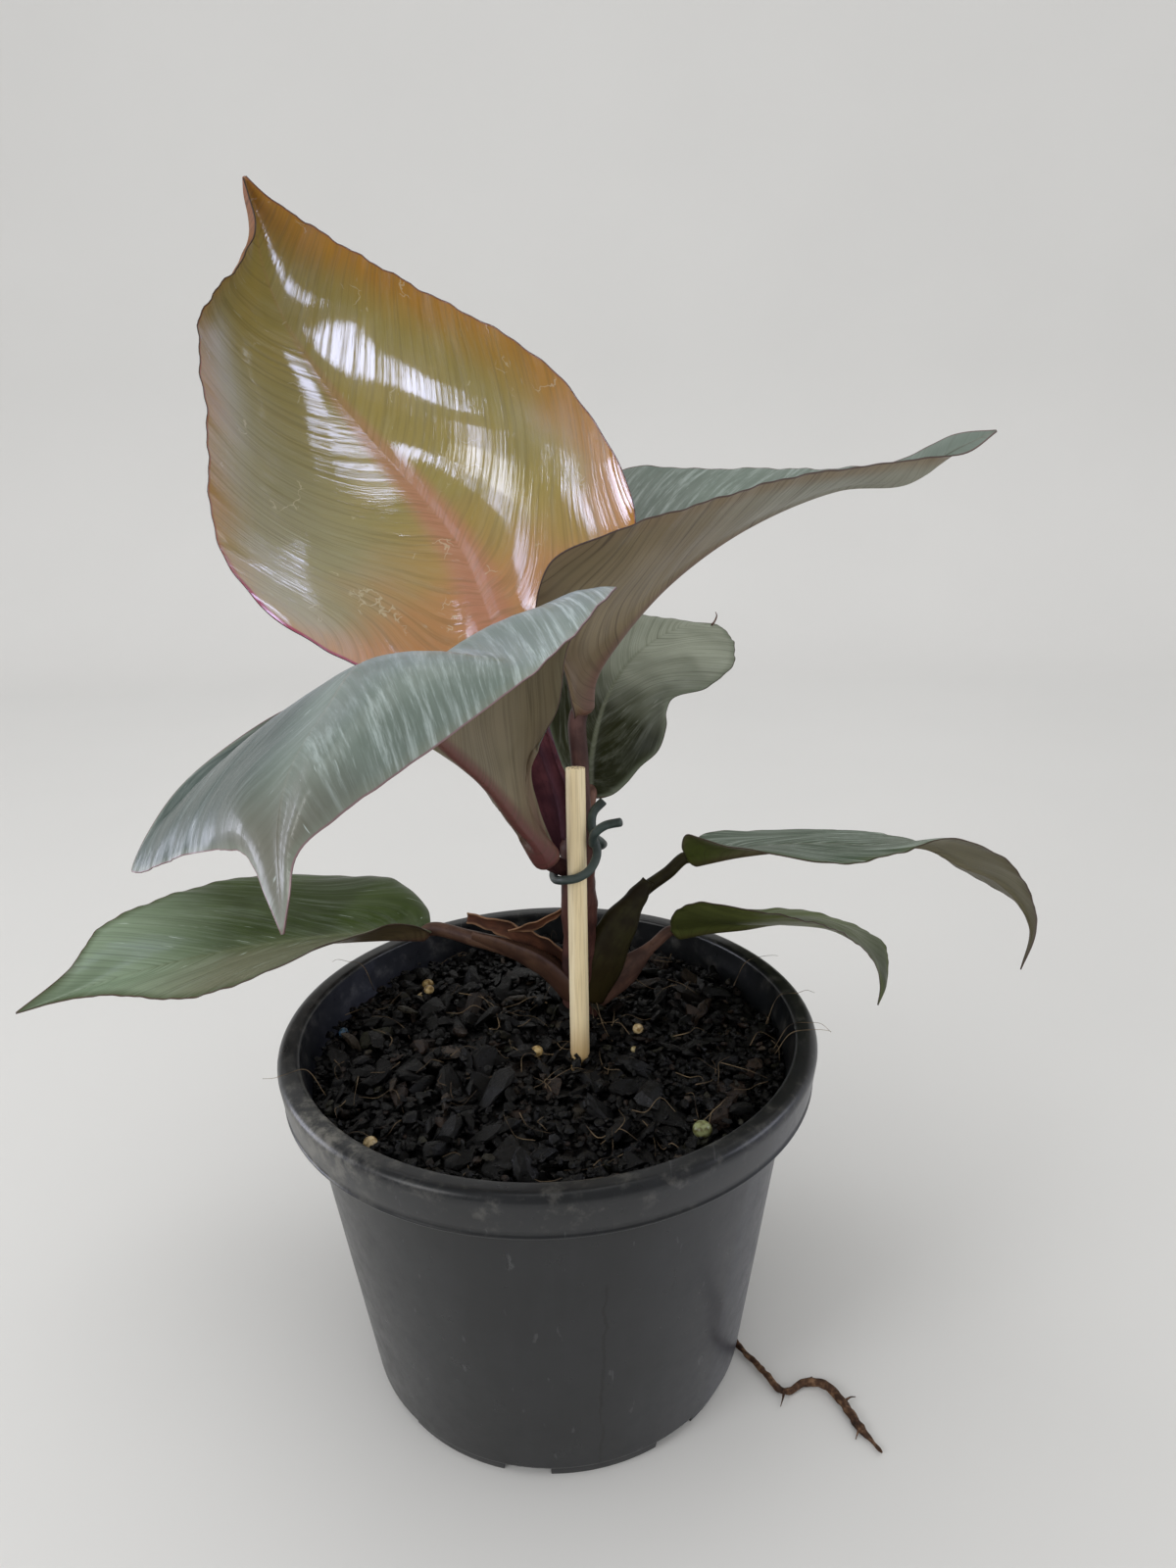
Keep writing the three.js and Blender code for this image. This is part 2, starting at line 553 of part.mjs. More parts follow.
function dryStripSolid() {
  const path = [[6, 17, 124.5], [0, 17.5, 120.5], [-4, 18.5, 117.8], [-11.4, 20, 115.6]];
  const stations = [[0, 0.8, 0.6], [0.6, 1.6, 0.5], [1, 0.7, 0.5]];
  return rod(path, stations, { sides: 6, steps: 10, wide: [0, -0.6, 1] });
}

// The root that has left a drain gap and lies on the surface
function escapedRootSolid() {
  const path = [[46, -6.8, 4.1], [48.6, -9, 1.7], [51.5, -14.6, 1.3], [56, -21.5, 1.4], [61.2, -29.2, 1.4],
    [66.9, -26.8, 1.6], [72.1, -27.4, 1.6], [76, -33.2, 1.5], [78.4, -39.5, 1.3], [82.7, -47.5, 1]];
  const stations = [[0, 0.5, 0.5], [0.12, 0.8, 0.8], [0.45, 0.85, 0.85], [0.6, ROOT_RADIUS, ROOT_RADIUS],
    [0.85, ROOT_RADIUS, ROOT_RADIUS], [1, 0.35, 0.35]];
  return rod(path, stations, { sides: 6, steps: 26, wide: [0, 0.3, 1] });
}

// Assembly, in the order that the plant's pieces give way to each other
const group = new THREE.Group();
group.name = 'potted_red_heart_philodendron';

function place(name, solid, colour, roughness) {
  const material = new THREE.MeshStandardMaterial({ color: colour, roughness, metalness: 0 });
  const mesh = new THREE.Mesh(toGeometry(largestBody(solid)), material);
  mesh.name = name;
  group.add(mesh);
}

const stem = stemSolid();
const stemRoom = stemSolid(CLEARANCE);
const stakeRoom = stakeSolid(CLEARANCE);

place('pot', potSolid(), 0x434446, 0.45);
place('stem', stem, 0x5b3f36, 0.6);
place('stake', stakeSolid(), 0xc9b27f, 0.6);
place('tie', tieSolid().subtract(stemRoom).subtract(stakeRoom), 0x3a4543, 0.5);

let taken = stemRoom;
for (const [name, leaf] of Object.entries(LEAVES)) {
  place(name, leafSolid(leaf).subtract(taken), leaf.colour, 0.4);
  taken = taken.add(leafSolid(leaf, CLEARANCE));
}
place('sheath_dry', drySheathSolid().subtract(taken), 0x8a5638, 0.8);
taken = taken.add(drySheathSolid(CLEARANCE));
place('strip_dry', dryStripSolid().subtract(taken), 0x7a4a2c, 0.8);
place('soil', soilSolid().subtract(taken).subtract(stakeRoom), 0x1b1712, 0.95);
place('root_escaped', escapedRootSolid(), 0x4a3222, 0.8);

export default group;
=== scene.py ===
# Potted red heart philodendron: the living surfaces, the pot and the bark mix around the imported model.
# Lengths are in millimetres until a mesh is made, which is in metres. -Y is the front.

import math
import random

import bpy
import numpy as np
from mathutils import Matrix, Vector, noise


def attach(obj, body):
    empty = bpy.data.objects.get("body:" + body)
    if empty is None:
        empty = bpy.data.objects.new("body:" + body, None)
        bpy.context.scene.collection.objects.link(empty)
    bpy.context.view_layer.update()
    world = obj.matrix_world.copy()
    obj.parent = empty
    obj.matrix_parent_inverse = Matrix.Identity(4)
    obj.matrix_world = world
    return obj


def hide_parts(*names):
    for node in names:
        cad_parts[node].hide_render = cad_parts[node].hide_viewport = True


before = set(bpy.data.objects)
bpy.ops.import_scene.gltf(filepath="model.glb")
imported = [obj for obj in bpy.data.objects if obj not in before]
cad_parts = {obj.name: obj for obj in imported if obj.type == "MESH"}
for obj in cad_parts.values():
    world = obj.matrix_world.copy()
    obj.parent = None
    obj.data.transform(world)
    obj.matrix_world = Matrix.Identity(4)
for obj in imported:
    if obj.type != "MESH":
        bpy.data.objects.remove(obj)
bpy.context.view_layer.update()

MM = 0.001

# Pot
RIM_RADIUS = 70
POT_HEIGHT = 100
WALL = 1.5
RIM_WIDTH = 5.8
RIM_ROUND = 2.4
INNER_ROUND = 1.4
SKIRT_DEPTH = 11.5
SKIRT_ROUND = 0.45
BODY_TOP_RADIUS = 63.8
BODY_BASE_RADIUS = 52.4
FOOT_HEIGHT = 3
FOOT_RADIUS = 50.8
FOOT_WIDTH = 3.6
PAD_RADIUS = 9
FLOOR_TOP = FOOT_HEIGHT + WALL
GAP_COUNT = 8
GAP_ANGLE = 13.5
FIRST_GAP = -8
SLOT_DEPTH = 5
POT_STEPS = 144
POT_SOFTNESS = 0.22

# Bark mix
SOIL_TOP = 91.5
BED_TOP = SOIL_TOP - 3.2
BED_RINGS = 60
BED_SPOKES = 180
MAP_HALF = 65
MAP_START = SOIL_TOP - 3.0
MOST_RISE = 3.2
CHIP_COUNT = 1150
CHIP_BLANKS = 14
CRUMB_COUNT = 2400
CRUMB_BLANKS = 6
BLANK_CUTS = 7
CHIP_TILT = 0.4
FIBRE_COUNT = 90
SOIL_SEED = 7

# Stake, stem and tie
STAKE_RADIUS = 2.5
STAKE_FOOT = (7.8, -17, 30)
STAKE_TOP = (8.5, 9, 166.7)
STAKE_CUTS = 16
STEM_RADIUS = 4.8
TIE_RADIUS = 1.15

# Leaves
BLADE_ROWS = 150
HALF_COLUMNS = 30
BLADE_THICKNESS = 0.55
EDGE_THICKNESS = 0.28
ROW_SPACING = 1.25
VEIN_SPACING = 7.5
VEIN_SWEEP = 0.05
VEIN_LEAN = 1.2
WAVE_LENGTH = 21
SMALL_WAVE_LENGTH = 8.7
TIP_STOP = 0.996
RIB_END = 0.86
RIB_TIP_RADIUS = 0.5
FOLD_REACH = 6
RIB_JOIN = (0.07, 0.12, 0.17)
RIB_SHARE = 0.7
FULL_BELLY_WIDTH = 12
SHEATH_BEND = 1.35
SHEATH_ROUGHNESS = 3.5
SHEATH_SEED = 4
OFF_EDGE = 9

# Camera, as the photograph was taken
PICTURE_HEIGHT = 1600
FOCAL_PIXELS = 1109
SENSOR = 36
CAMERA_PLACE = (11.645, -252.97, 251.72)
CAMERA_PITCH = 18.848
CAMERA_ROLL = -1.171

# Studio, in metres
COOL = "#EAEDFF"
SKY = "#D2D9FF"
ROOM_LIGHT = 1.0
ROOM_MIRRORED = 0.3
FLOOR_HALF = 4
WALL_PLACE = 1.1
WALL_RISE = 3
WALL_LEAN = 0.1
FLOOR_CURVE = 0.3
FAR = 2


# Numbers along a line

def smooth(value, low, high):
    """0 below low, 1 above high, and an even ramp with soft ends between them."""
    t = np.clip((np.asarray(value, float) - low) / (high - low), 0, 1)
    return t * t * (3 - 2 * t)


def read_stations(stations, place):
    """Reads a short list of (place, value, value...) at many places, with soft steps."""
    rows = np.array(stations, float)
    found = np.clip(np.searchsorted(rows[:, 0], place, side="right"), 1, len(rows) - 1)
    low, high = rows[found - 1], rows[found]
    t = smooth(place, low[:, 0], high[:, 0])[:, None]
    return low[:, 1:] * (1 - t) + high[:, 1:] * t


def round_bar(*stations):
    """Stations of a bar that is as wide as it is deep, from places and radii."""
    return [(place, radius, radius) for place, radius in stations]


def lengths(vectors):
    return np.linalg.norm(vectors, axis=-1, keepdims=True)


def unit(vectors):
    return vectors / np.maximum(lengths(vectors), 1e-9)


class Path:
    """A smooth line through a few points, read by its share of length from 0 to 1."""

    def __init__(self, points, per_span=40):
        knots = np.array(points, float)
        knots = np.vstack([2 * knots[0] - knots[1], knots, 2 * knots[-1] - knots[-2]])
        line = [knots[1]]
        t = np.linspace(0, 1, per_span + 1)[1:, None]
        for a, b, c, d in zip(knots, knots[1:], knots[2:], knots[3:]):
            before, span, after = (float(lengths(q - p)[0]) ** 0.5 for p, q in ((a, b), (b, c), (c, d)))
            leave = ((b - a) / before - (c - a) / (before + span) + (c - b) / span) * span
            arrive = ((c - b) / span - (d - b) / (span + after) + (d - c) / after) * span
            bend, twist = 3 * (c - b) - 2 * leave - arrive, 2 * (b - c) + leave + arrive
            line.extend(b + leave * t + bend * t**2 + twist * t**3)
        self.line = np.array(line)
        steps = lengths(np.diff(self.line, axis=0))[:, 0]
        self.reached = np.concatenate([[0], np.cumsum(steps)])
        self.length = self.reached[-1]

    def at(self, share):
        place = np.clip(share, 0, 1) * self.length
        return np.stack([np.interp(place, self.reached, self.line[:, k]) for k in range(3)], -1)

    def heading(self, share, reach=0.006):
        return unit(self.at(share + reach) - self.at(share - reach))


# Meshes

POINT_VALUES = ("across_mm", "edge_mm", "vein_mm", "along")


def point_values(*values):
    """The four values of each point, side by side."""
    return np.stack(np.broadcast_arrays(*values), -1)


def new_piece(name, points, faces, finishes, values):
    """A piece from points in millimetres, with the named values that its finishes read."""
    mesh = bpy.data.meshes.new(name)
    mesh.from_pydata((points * MM).tolist(), [], faces)
    for finish in finishes:
        mesh.materials.append(finish)
    for value_name, numbers in values.items():
        layer = mesh.attributes.new(value_name, "FLOAT", "POINT")
        layer.data.foreach_set("value", np.array(numbers, np.float32))
    mesh.update()
    piece = bpy.data.objects.new(name, mesh)
    bpy.context.scene.collection.objects.link(piece)
    return piece


class Shape:
    """Closed surfaces that make one piece. Each point carries the values that its finish reads."""

    def __init__(self):
        self.points, self.faces, self.finishes, self.values = [], [], [], []
        self.count = 0

    def add(self, points, faces, finishes, values):
        self.points.append(points.reshape(-1, 3))
        self.faces.extend([[corner + self.count for corner in face] for face in faces])
        self.finishes.extend(finishes)
        self.values.append(values.reshape(-1, len(POINT_VALUES)))
        self.count += len(self.points[-1])

    def make(self, name, finishes, **more):
        values = dict(zip(POINT_VALUES, np.vstack(self.values).T))
        piece = new_piece(name, np.vstack(self.points), self.faces, finishes, {**values, **more})
        piece.data.polygons.foreach_set("material_index", self.finishes)
        piece.data.polygons.foreach_set("use_smooth", [True] * len(self.faces))
        piece.data.update()
        return piece


def grid_faces(rows, columns, start=0, flip=False):
    """Quads over a grid of points, row by row."""
    faces = []
    for i in range(rows - 1):
        for j in range(columns - 1):
            a = start + i * columns + j
            quad = [a, a + 1, a + 1 + columns, a + columns]
            faces.append(quad[::-1] if flip else quad)
    return faces


def add_sheet(shape, upper, lower, values, upper_finish, lower_finish):
    """A thin closed sheet between two grids of points that face away from each other."""
    rows, columns = upper.shape[:2]
    under = rows * columns
    faces = grid_faces(rows, columns)
    finishes = [upper_finish] * len(faces)
    faces += grid_faces(rows, columns, under, flip=True)
    numbers = np.arange(under).reshape(rows, columns)
    for side in (numbers[0], numbers[-1][::-1], numbers[:, -1], numbers[:, 0][::-1]):
        faces += [[b, a, a + under, b + under] for a, b in zip(side.tolist(), side[1:].tolist())]
    finishes += [lower_finish] * (len(faces) - len(finishes))
    both = np.vstack([upper.reshape(-1, 3), lower.reshape(-1, 3)])
    shape.add(both, faces, finishes, np.vstack([values.reshape(-1, len(POINT_VALUES))] * 2))


def frame_along(line, stations, steps, wide):
    """Places on a path, with the centre, the sideways and deep directions and the sizes there."""
    place = np.linspace(0, 1, steps + 1)
    centre, along = line.at(place), line.heading(np.clip(place, 0.01, 0.99))
    side = unit(np.array(wide, float) - along * (along @ np.array(wide, float))[:, None])
    deep = np.cross(along, side)
    size = read_stations(stations, place)
    return place[:, None], centre[:, None], side[:, None], deep[:, None], size[:, :1], size[:, 1:2]


def add_rod(shape, points, stations, finish, wide=(1, 0, 0), sides=20, steps=60, bumps=0.0, bump_mm=4.0):
    """A closed rod along a path. Its stations give half width and half depth."""
    line = Path(points)
    place, centre, side, deep, half_width, half_depth = frame_along(line, stations, steps, wide)
    turn = np.arange(sides) / sides * 2 * math.pi
    rings = (
        centre
        + side * (half_width * np.cos(turn))[:, :, None]
        + deep * (half_depth * np.sin(turn))[:, :, None]
    )
    if bumps:
        for i in range(steps + 1):
            largest = max(half_width[i, 0], half_depth[i, 0], 0.1)
            for j in range(sides):
                push = noise.noise(Vector(rings[i, j]) / bump_mm) * bumps
                rings[i, j] += push * (rings[i, j] - centre[i, 0]) / largest
    faces = []
    for i in range(steps):
        for j in range(sides):
            a, b = i * sides + j, i * sides + (j + 1) % sides
            faces.append([a, b, b + sides, a + sides])
    faces.append(list(range(sides))[::-1])
    faces.append([steps * sides + j for j in range(sides)])
    values = point_values(half_width * turn, OFF_EDGE, place * line.length, place)
    shape.add(rings, faces, [finish] * len(faces), values)


def add_trough(shape, points, stations, finish, wide, thickness=0.6, columns=17, steps=60, ragged=0.0):
    """A thin curved sheath along a path. Its stations give half width and the depth of its hollow."""
    line = Path(points)
    place, centre, side, deep, half_width, depth = frame_along(line, stations, steps, wide)
    bend = np.linspace(-1, 1, columns)
    inner = (
        centre
        + side * (half_width * np.sin(bend * SHEATH_BEND) / math.sin(SHEATH_BEND))[:, :, None]
        + deep * (depth * (np.cos(bend * SHEATH_BEND) - math.cos(SHEATH_BEND)))[:, :, None]
    )
    if ragged:
        noise.seed_set(SHEATH_SEED)
        for i in range(steps + 1):
            for j in range(columns):
                rough = noise.noise_vector(Vector(inner[i, j]) / SHEATH_ROUGHNESS)
                inner[i, j] += np.array(rough) * ragged * (0.35 + abs(bend[j]))
    taper = (0.45 + 0.55 * (1 - np.abs(bend) ** 3))[None, :, None]
    half = grid_normals(inner) * thickness / 2 * taper
    values = point_values(half_width * bend, half_width * (1 - np.abs(bend)), place * line.length, place)
    add_sheet(shape, inner + half, inner - half, values, finish, finish)


# Placing pieces in the frame

def claim(piece, slot, *nodes):
    """The piece rides with the plant and stands for its solids, which it hides. The slot is not used."""
    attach(piece, "root")
    if nodes:
        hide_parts(*nodes)


def deselect_all():
    if bpy.context.object and bpy.context.object.mode == "EDIT":
        bpy.ops.object.mode_set(mode="OBJECT")
    bpy.ops.object.select_all(action="DESELECT")


def pick(*pieces):
    """Selects these pieces alone. The first of them is the active one."""
    deselect_all()
    for piece in pieces:
        piece.select_set(True)
    bpy.context.view_layer.objects.active = pieces[0]


def apply_modifiers(piece):
    pick(piece)
    for modifier in list(piece.modifiers):
        bpy.ops.object.modifier_apply(modifier=modifier.name)


def close_seams(distance):
    """Merges points that meet and turns all faces outwards. It runs in edit mode."""
    bpy.ops.mesh.select_all(action="SELECT")
    bpy.ops.mesh.remove_doubles(threshold=distance)
    bpy.ops.mesh.normals_make_consistent(inside=False)
    bpy.ops.object.mode_set(mode="OBJECT")


# Finishes

def colour(text):
    """An sRGB hex colour as linear light."""
    parts = [int(text[k:k + 2], 16) / 255 for k in (1, 3, 5)]
    return (*[c / 12.92 if c <= 0.04045 else ((c + 0.055) / 1.055) ** 2.4 for c in parts], 1)


def feed(tree, node, inputs):
    """Each input takes a value, or a node whose output is linked to it."""
    for socket, value in inputs.items():
        if isinstance(value, bpy.types.Node):
            value = next(output for output in value.outputs if output.enabled)
        if isinstance(value, bpy.types.NodeSocket):
            tree.links.new(value, node.inputs[socket])
        else:
            node.inputs[socket].default_value = value


def add(tree, kind, inputs, stops=(), **settings):
    """Adds a node with its settings and links. Stops are a colour ramp's places and colours, ends first."""
    node = tree.nodes.new("ShaderNode" + kind)
    for name, value in settings.items():
        setattr(node, name, value)
    feed(tree, node, inputs)
    for number, (place, text) in enumerate(stops):
        steps = node.color_ramp.elements
        step = steps[number] if number < 2 else steps.new(place)
        step.position, step.color = place, colour(text)
    return node


def new_finish(name, **surface_values):
    """A material whose surface sockets are set, with its nodes ready to be linked."""
    material = bpy.data.materials.new(name)
    material.use_nodes = True
    tree = material.node_tree
    surface = tree.nodes["Principled BSDF"]
    feed(tree, surface, {word.replace("_", " ").title().replace("Ior", "IOR"): value
                         for word, value in surface_values.items()})
    return material, tree, surface


def millimetres(tree):
    """Object coordinates in millimetres."""
    place = add(tree, "TexCoord", {})
    return add(tree, "Mapping", {"Vector": place.outputs["Object"], "Scale": (1000, 1000, 1000)})


def point_value(tree, name):
    return add(tree, "Attribute", {}, attribute_name=name)


def drawn_out(tree, over, along, share):
    """A place on the skin whose lengthwise part is shrunk, so that a pattern is drawn out along it."""
    return add(tree, "CombineXYZ", {0: over, 1: cover(tree, along, share)})


def cover(tree, *limits):
    """How far a layer shows: a product of numbers, nodes and soft steps (pattern, start, full)."""
    total = None
    for limit in limits:
        if isinstance(limit, tuple):
            pattern, start, full = limit
            limit = add(tree, "MapRange", {"Value": pattern, "From Min": start, "From Max": full},
                        interpolation_type="SMOOTHSTEP")
        total = limit if total is None else add(tree, "Math", {0: total, 1: limit}, operation="MULTIPLY")
    return total


def lay(tree, skin, text, *limits):
    """Lays a colour over the skin as far as its limits let it show."""
    return add(tree, "Mix", {0: cover(tree, *limits), 6: skin, 7: colour(text)}, data_type="RGBA")


def darken(tree, skin, text, *limits):
    """The skin is multiplied with a colour where its limits are low."""
    dark = add(tree, "Mix", {0: 1.0, 6: skin, 7: colour(text)}, data_type="RGBA", blend_type="MULTIPLY")
    return add(tree, "Mix", {0: cover(tree, *limits), 6: dark, 7: skin}, data_type="RGBA")


def dress(tree, surface, skin, heights, strength, depth, **others):
    """Gives the surface its colour and its relief, whose depth is in millimetres."""
    bump = add(tree, "Bump", {"Height": heights, "Strength": strength, "Distance": depth * MM})
    feed(tree, surface, {"Base Color": skin, "Normal": bump, **others})


def leaf_skin(name, ground, light, rib, rib_reach, margin, margin_reach, margin_share=0.8, margin_left=0,
              line="#3A3A22", line_share=0.25, vein_share=0, sheen_and_speck_colour="#A9B8B0", painted_sheen_share=0, painted_sheen_reach=0,
              speck_share=0, scar_share=0, edge_line="#4A3C30", edge_width=0.25, flush=None, side_tint=None,
              tip=None, base=None, roughness=0.38, coat=0.15, shine=0.5, relief=0.5, relief_mm=0.14):
    """Living leaf skin: fine parallel veins that sweep to the margin, a rib stripe and a tinted margin.

    Wax gives it a soft broad gloss, which the veins break into streaks.
    """
    material, tree, surface = new_finish(name, roughness=roughness, ior=1.45, coat_weight=coat,
                                         coat_roughness=0.08, specular_ior_level=shine)
    across, edge, vein, along = (point_value(tree, word) for word in POINT_VALUES)
    place = millimetres(tree)
    grain = drawn_out(tree, vein, across, 0.06)
    veinlets = add(tree, "TexNoise", {"Vector": grain, "Scale": 1 / 1.3, "Detail": 3, "Roughness": 0.6})
    streaks = add(tree, "TexNoise", {"Vector": grain, "Scale": 1 / 6, "Detail": 3, "Roughness": 0.6})
    patches = add(tree, "TexNoise", {"Vector": place, "Scale": 1 / 24, "Detail": 2})
    mottle = add(tree, "TexNoise", {"Vector": place, "Scale": 1 / 2.6, "Detail": 4, "Roughness": 0.65})

    # Ground: two greens in soft patches, then the tints of one half, tip, base, margin and rib
    skin = lay(tree, colour(ground), light, (patches, 0.35, 0.65))
    if side_tint:
        text, share, start, full = side_tint
        skin = lay(tree, skin, text, (across, start, full), share)
    if tip:
        text, start, full = tip
        skin = lay(tree, skin, text, (along, start, full))
    if base:
        text, full, start = base
        drift = add(tree, "Math", {0: patches, 1: 0.3, 2: -0.15}, operation="MULTIPLY_ADD")
        drifted = add(tree, "Math", {0: along, 1: drift}, operation="ADD")
        skin = lay(tree, skin, text, (drifted, start, full))
    shifted = add(tree, "Math", {0: patches, 1: margin_reach * 0.8, 2: edge}, operation="MULTIPLY_ADD")
    if margin_left:
        on_left = cover(tree, (across, 3, -3), margin_left)
        shifted = add(tree, "Math", {0: shifted, 1: on_left}, operation="ADD")
    skin = lay(tree, skin, margin, (shifted, margin_reach * 1.35, margin_reach * 0.4), margin_share)
    off_rib = add(tree, "Math", {0: across}, operation="ABSOLUTE")
    reach = add(tree, "MapRange", {"Value": along, "From Min": 0.02, "From Max": 0.8,
                                   "To Min": rib_reach, "To Max": 0.35})
    rib_distance = add(tree, "Math", {0: off_rib, 1: reach}, operation="DIVIDE")
    rib_fade = add(tree, "MapRange", {"Value": along, "From Min": 0.45, "From Max": 0.78,
                                      "To Min": 0.85, "To Max": 0.15})
    at_rib = cover(tree, (rib_distance, 1.35, 0.3), rib_fade)
    skin = lay(tree, skin, rib, at_rib)

    # Veinlets, a few dark side veins, pale streaks of painted sheen, pale specks and crackled scars
    skin = lay(tree, skin, line, (veinlets, 0.54, 0.34), line_share)
    if vein_share:
        wide_grain = drawn_out(tree, vein, across, 0.03)
        wander = add(tree, "TexNoise", {"Vector": wide_grain, "Scale": 1 / 9, "Detail": 1})
        off_vein = add(tree, "Math", {0: wander, 1: 0.07}, operation="PINGPONG")
        skin = lay(tree, skin, line, (off_vein, 0.007, 0.001), vein_share)
    # The pale streaks and mottles are a painted sheen, a painted reflection on the waxed skin; the same pale
    # colour also marks the real specks
    if painted_sheen_share:
        strokes = drawn_out(tree, vein, across, 0.3)
        sheen_pattern = add(tree, "TexNoise", {"Vector": strokes, "Scale": 1 / 2.6, "Detail": 5, "Roughness": 0.7})
        limits = [(sheen_pattern, 0.44, 0.7), (streaks, 0.25, 0.6)]
        # Where a reach is given, the painted sheen grows towards the near margin: a painted highlight where
        # that half catches the light
        if painted_sheen_reach:
            sheen_near_margin = add(tree, "MapRange", {"Value": edge, "From Min": painted_sheen_reach, "From Max": 3})
            sheen_near_margin = cover(tree, sheen_near_margin, (across, 4, -3))
            limits.append(add(tree, "Math", {0: sheen_near_margin, 1: 0.75, 2: 0.25}, operation="MULTIPLY_ADD"))
        skin = lay(tree, skin, sheen_and_speck_colour, *limits, (along, 0.92, 0.8), painted_sheen_share)
    if speck_share:
        dashes = drawn_out(tree, vein, across, 0.35)
        dots = add(tree, "TexNoise", {"Vector": dashes, "Scale": 1 / 1.5, "Detail": 2, "Roughness": 0.7})
        skin = lay(tree, skin, sheen_and_speck_colour, (dots, 0.66, 0.74), (patches, 0.42, 0.6), speck_share)
    if scar_share:
        stray = add(tree, "TexNoise", {"Vector": place, "Scale": 1 / 5, "Detail": 3})
        bent = add(tree, "VectorMath", {0: stray.outputs["Color"], 1: (9, 9, 9), 2: place},
                   operation="MULTIPLY_ADD")
        cracks = add(tree, "TexVoronoi", {"Vector": bent, "Scale": 1 / 8}, feature="DISTANCE_TO_EDGE")
        few = add(tree, "TexNoise", {"Vector": place, "Scale": 1 / 8, "Detail": 1})
        skin = lay(tree, skin, "#C9BFA4", (cracks, 0.03, 0.008), (few, 0.63, 0.68), scar_share)
    skin = lay(tree, skin, edge_line, (edge, edge_width * 1.6, edge_width * 0.5))
    if flush:
        skin = lay(tree, skin, flush, (along, 0.52, 0.4), (across, 0, -12), (edge, 1.3, 0.5))

    # Gloss and relief both break up along the veins
    if coat:
        fans = add(tree, "TexNoise", {"Vector": grain, "Scale": 1 / 3.4, "Detail": 5, "Roughness": 0.75})
        polish = add(tree, "MapRange", {"Value": fans, "From Min": 0.39, "From Max": 0.52,
                                        "To Min": 0.03 * coat, "To Max": coat})
        off = add(tree, "Math", {0: 1.0, 1: at_rib}, operation="SUBTRACT")
        feed(tree, surface, {"Coat Weight": cover(tree, polish, off)})
    gloss = add(tree, "MapRange", {"Value": streaks, "From Min": 0.3, "From Max": 0.7,
                                   "To Min": roughness - 0.06, "To Max": roughness + 0.12})
    heights = add(tree, "Math", {0: streaks, 1: 1.4, 2: veinlets}, operation="MULTIPLY_ADD")
    heights = add(tree, "Math", {0: mottle, 1: 0.3, 2: heights}, operation="MULTIPLY_ADD")
    film = add(tree, "Bump", {"Height": veinlets, "Strength": relief, "Distance": relief_mm * MM})
    dress(tree, surface, skin, heights, relief, relief_mm, **{"Roughness": gloss, "Coat Normal": film})
    return material


def stalk_skin(name, ground, dark, foot=None, shine=0.2):
    """Petiole and stem skin: smooth and faintly ribbed lengthwise, with small dark flecks."""
    material, tree, surface = new_finish(name, roughness=0.5, ior=1.45, specular_ior_level=shine)
    grain = drawn_out(tree, point_value(tree, "across_mm"), point_value(tree, "vein_mm"), 0.09)
    ribs = add(tree, "TexNoise", {"Vector": grain, "Scale": 1 / 0.8, "Detail": 3, "Roughness": 0.6})
    place = millimetres(tree)
    patches = add(tree, "TexNoise", {"Vector": place, "Scale": 1 / 7, "Detail": 3})
    flecks = add(tree, "TexNoise", {"Vector": place, "Scale": 1 / 0.7, "Detail": 2})
    skin = lay(tree, colour(ground), dark, (patches, 0.38, 0.66))
    if foot:
        text, reach = foot
        skin = lay(tree, skin, text, (point_value(tree, "along"), reach, 0))
    skin = lay(tree, skin, dark, (ribs, 0.52, 0.35), 0.45)
    skin = lay(tree, skin, dark, (flecks, 0.62, 0.7), 0.5)
    dress(tree, surface, skin, ribs, 0.6, 0.1)
    return material


def dry_skin(name, ground, dark, pale):
    """Dead sheath: papery, dull, split into lengthwise fibres, and bleached along its edges."""
    material, tree, surface = new_finish(name, roughness=0.75, ior=1.4)
    grain = drawn_out(tree, point_value(tree, "across_mm"), point_value(tree, "vein_mm"), 0.12)
    fibres = add(tree, "TexNoise", {"Vector": grain, "Scale": 1 / 0.6, "Detail": 4, "Roughness": 0.65})
    patches = add(tree, "TexNoise", {"Vector": millimetres(tree), "Scale": 1 / 9, "Detail": 3})
    skin = lay(tree, colour(ground), dark, (patches, 0.36, 0.64))
    skin = lay(tree, skin, pale, (point_value(tree, "edge_mm"), 0.9, 0.1), 0.6)
    skin = lay(tree, skin, dark, (fibres, 0.54, 0.34), 0.6)
    dress(tree, surface, skin, fibres, 0.8, 0.15)
    return material


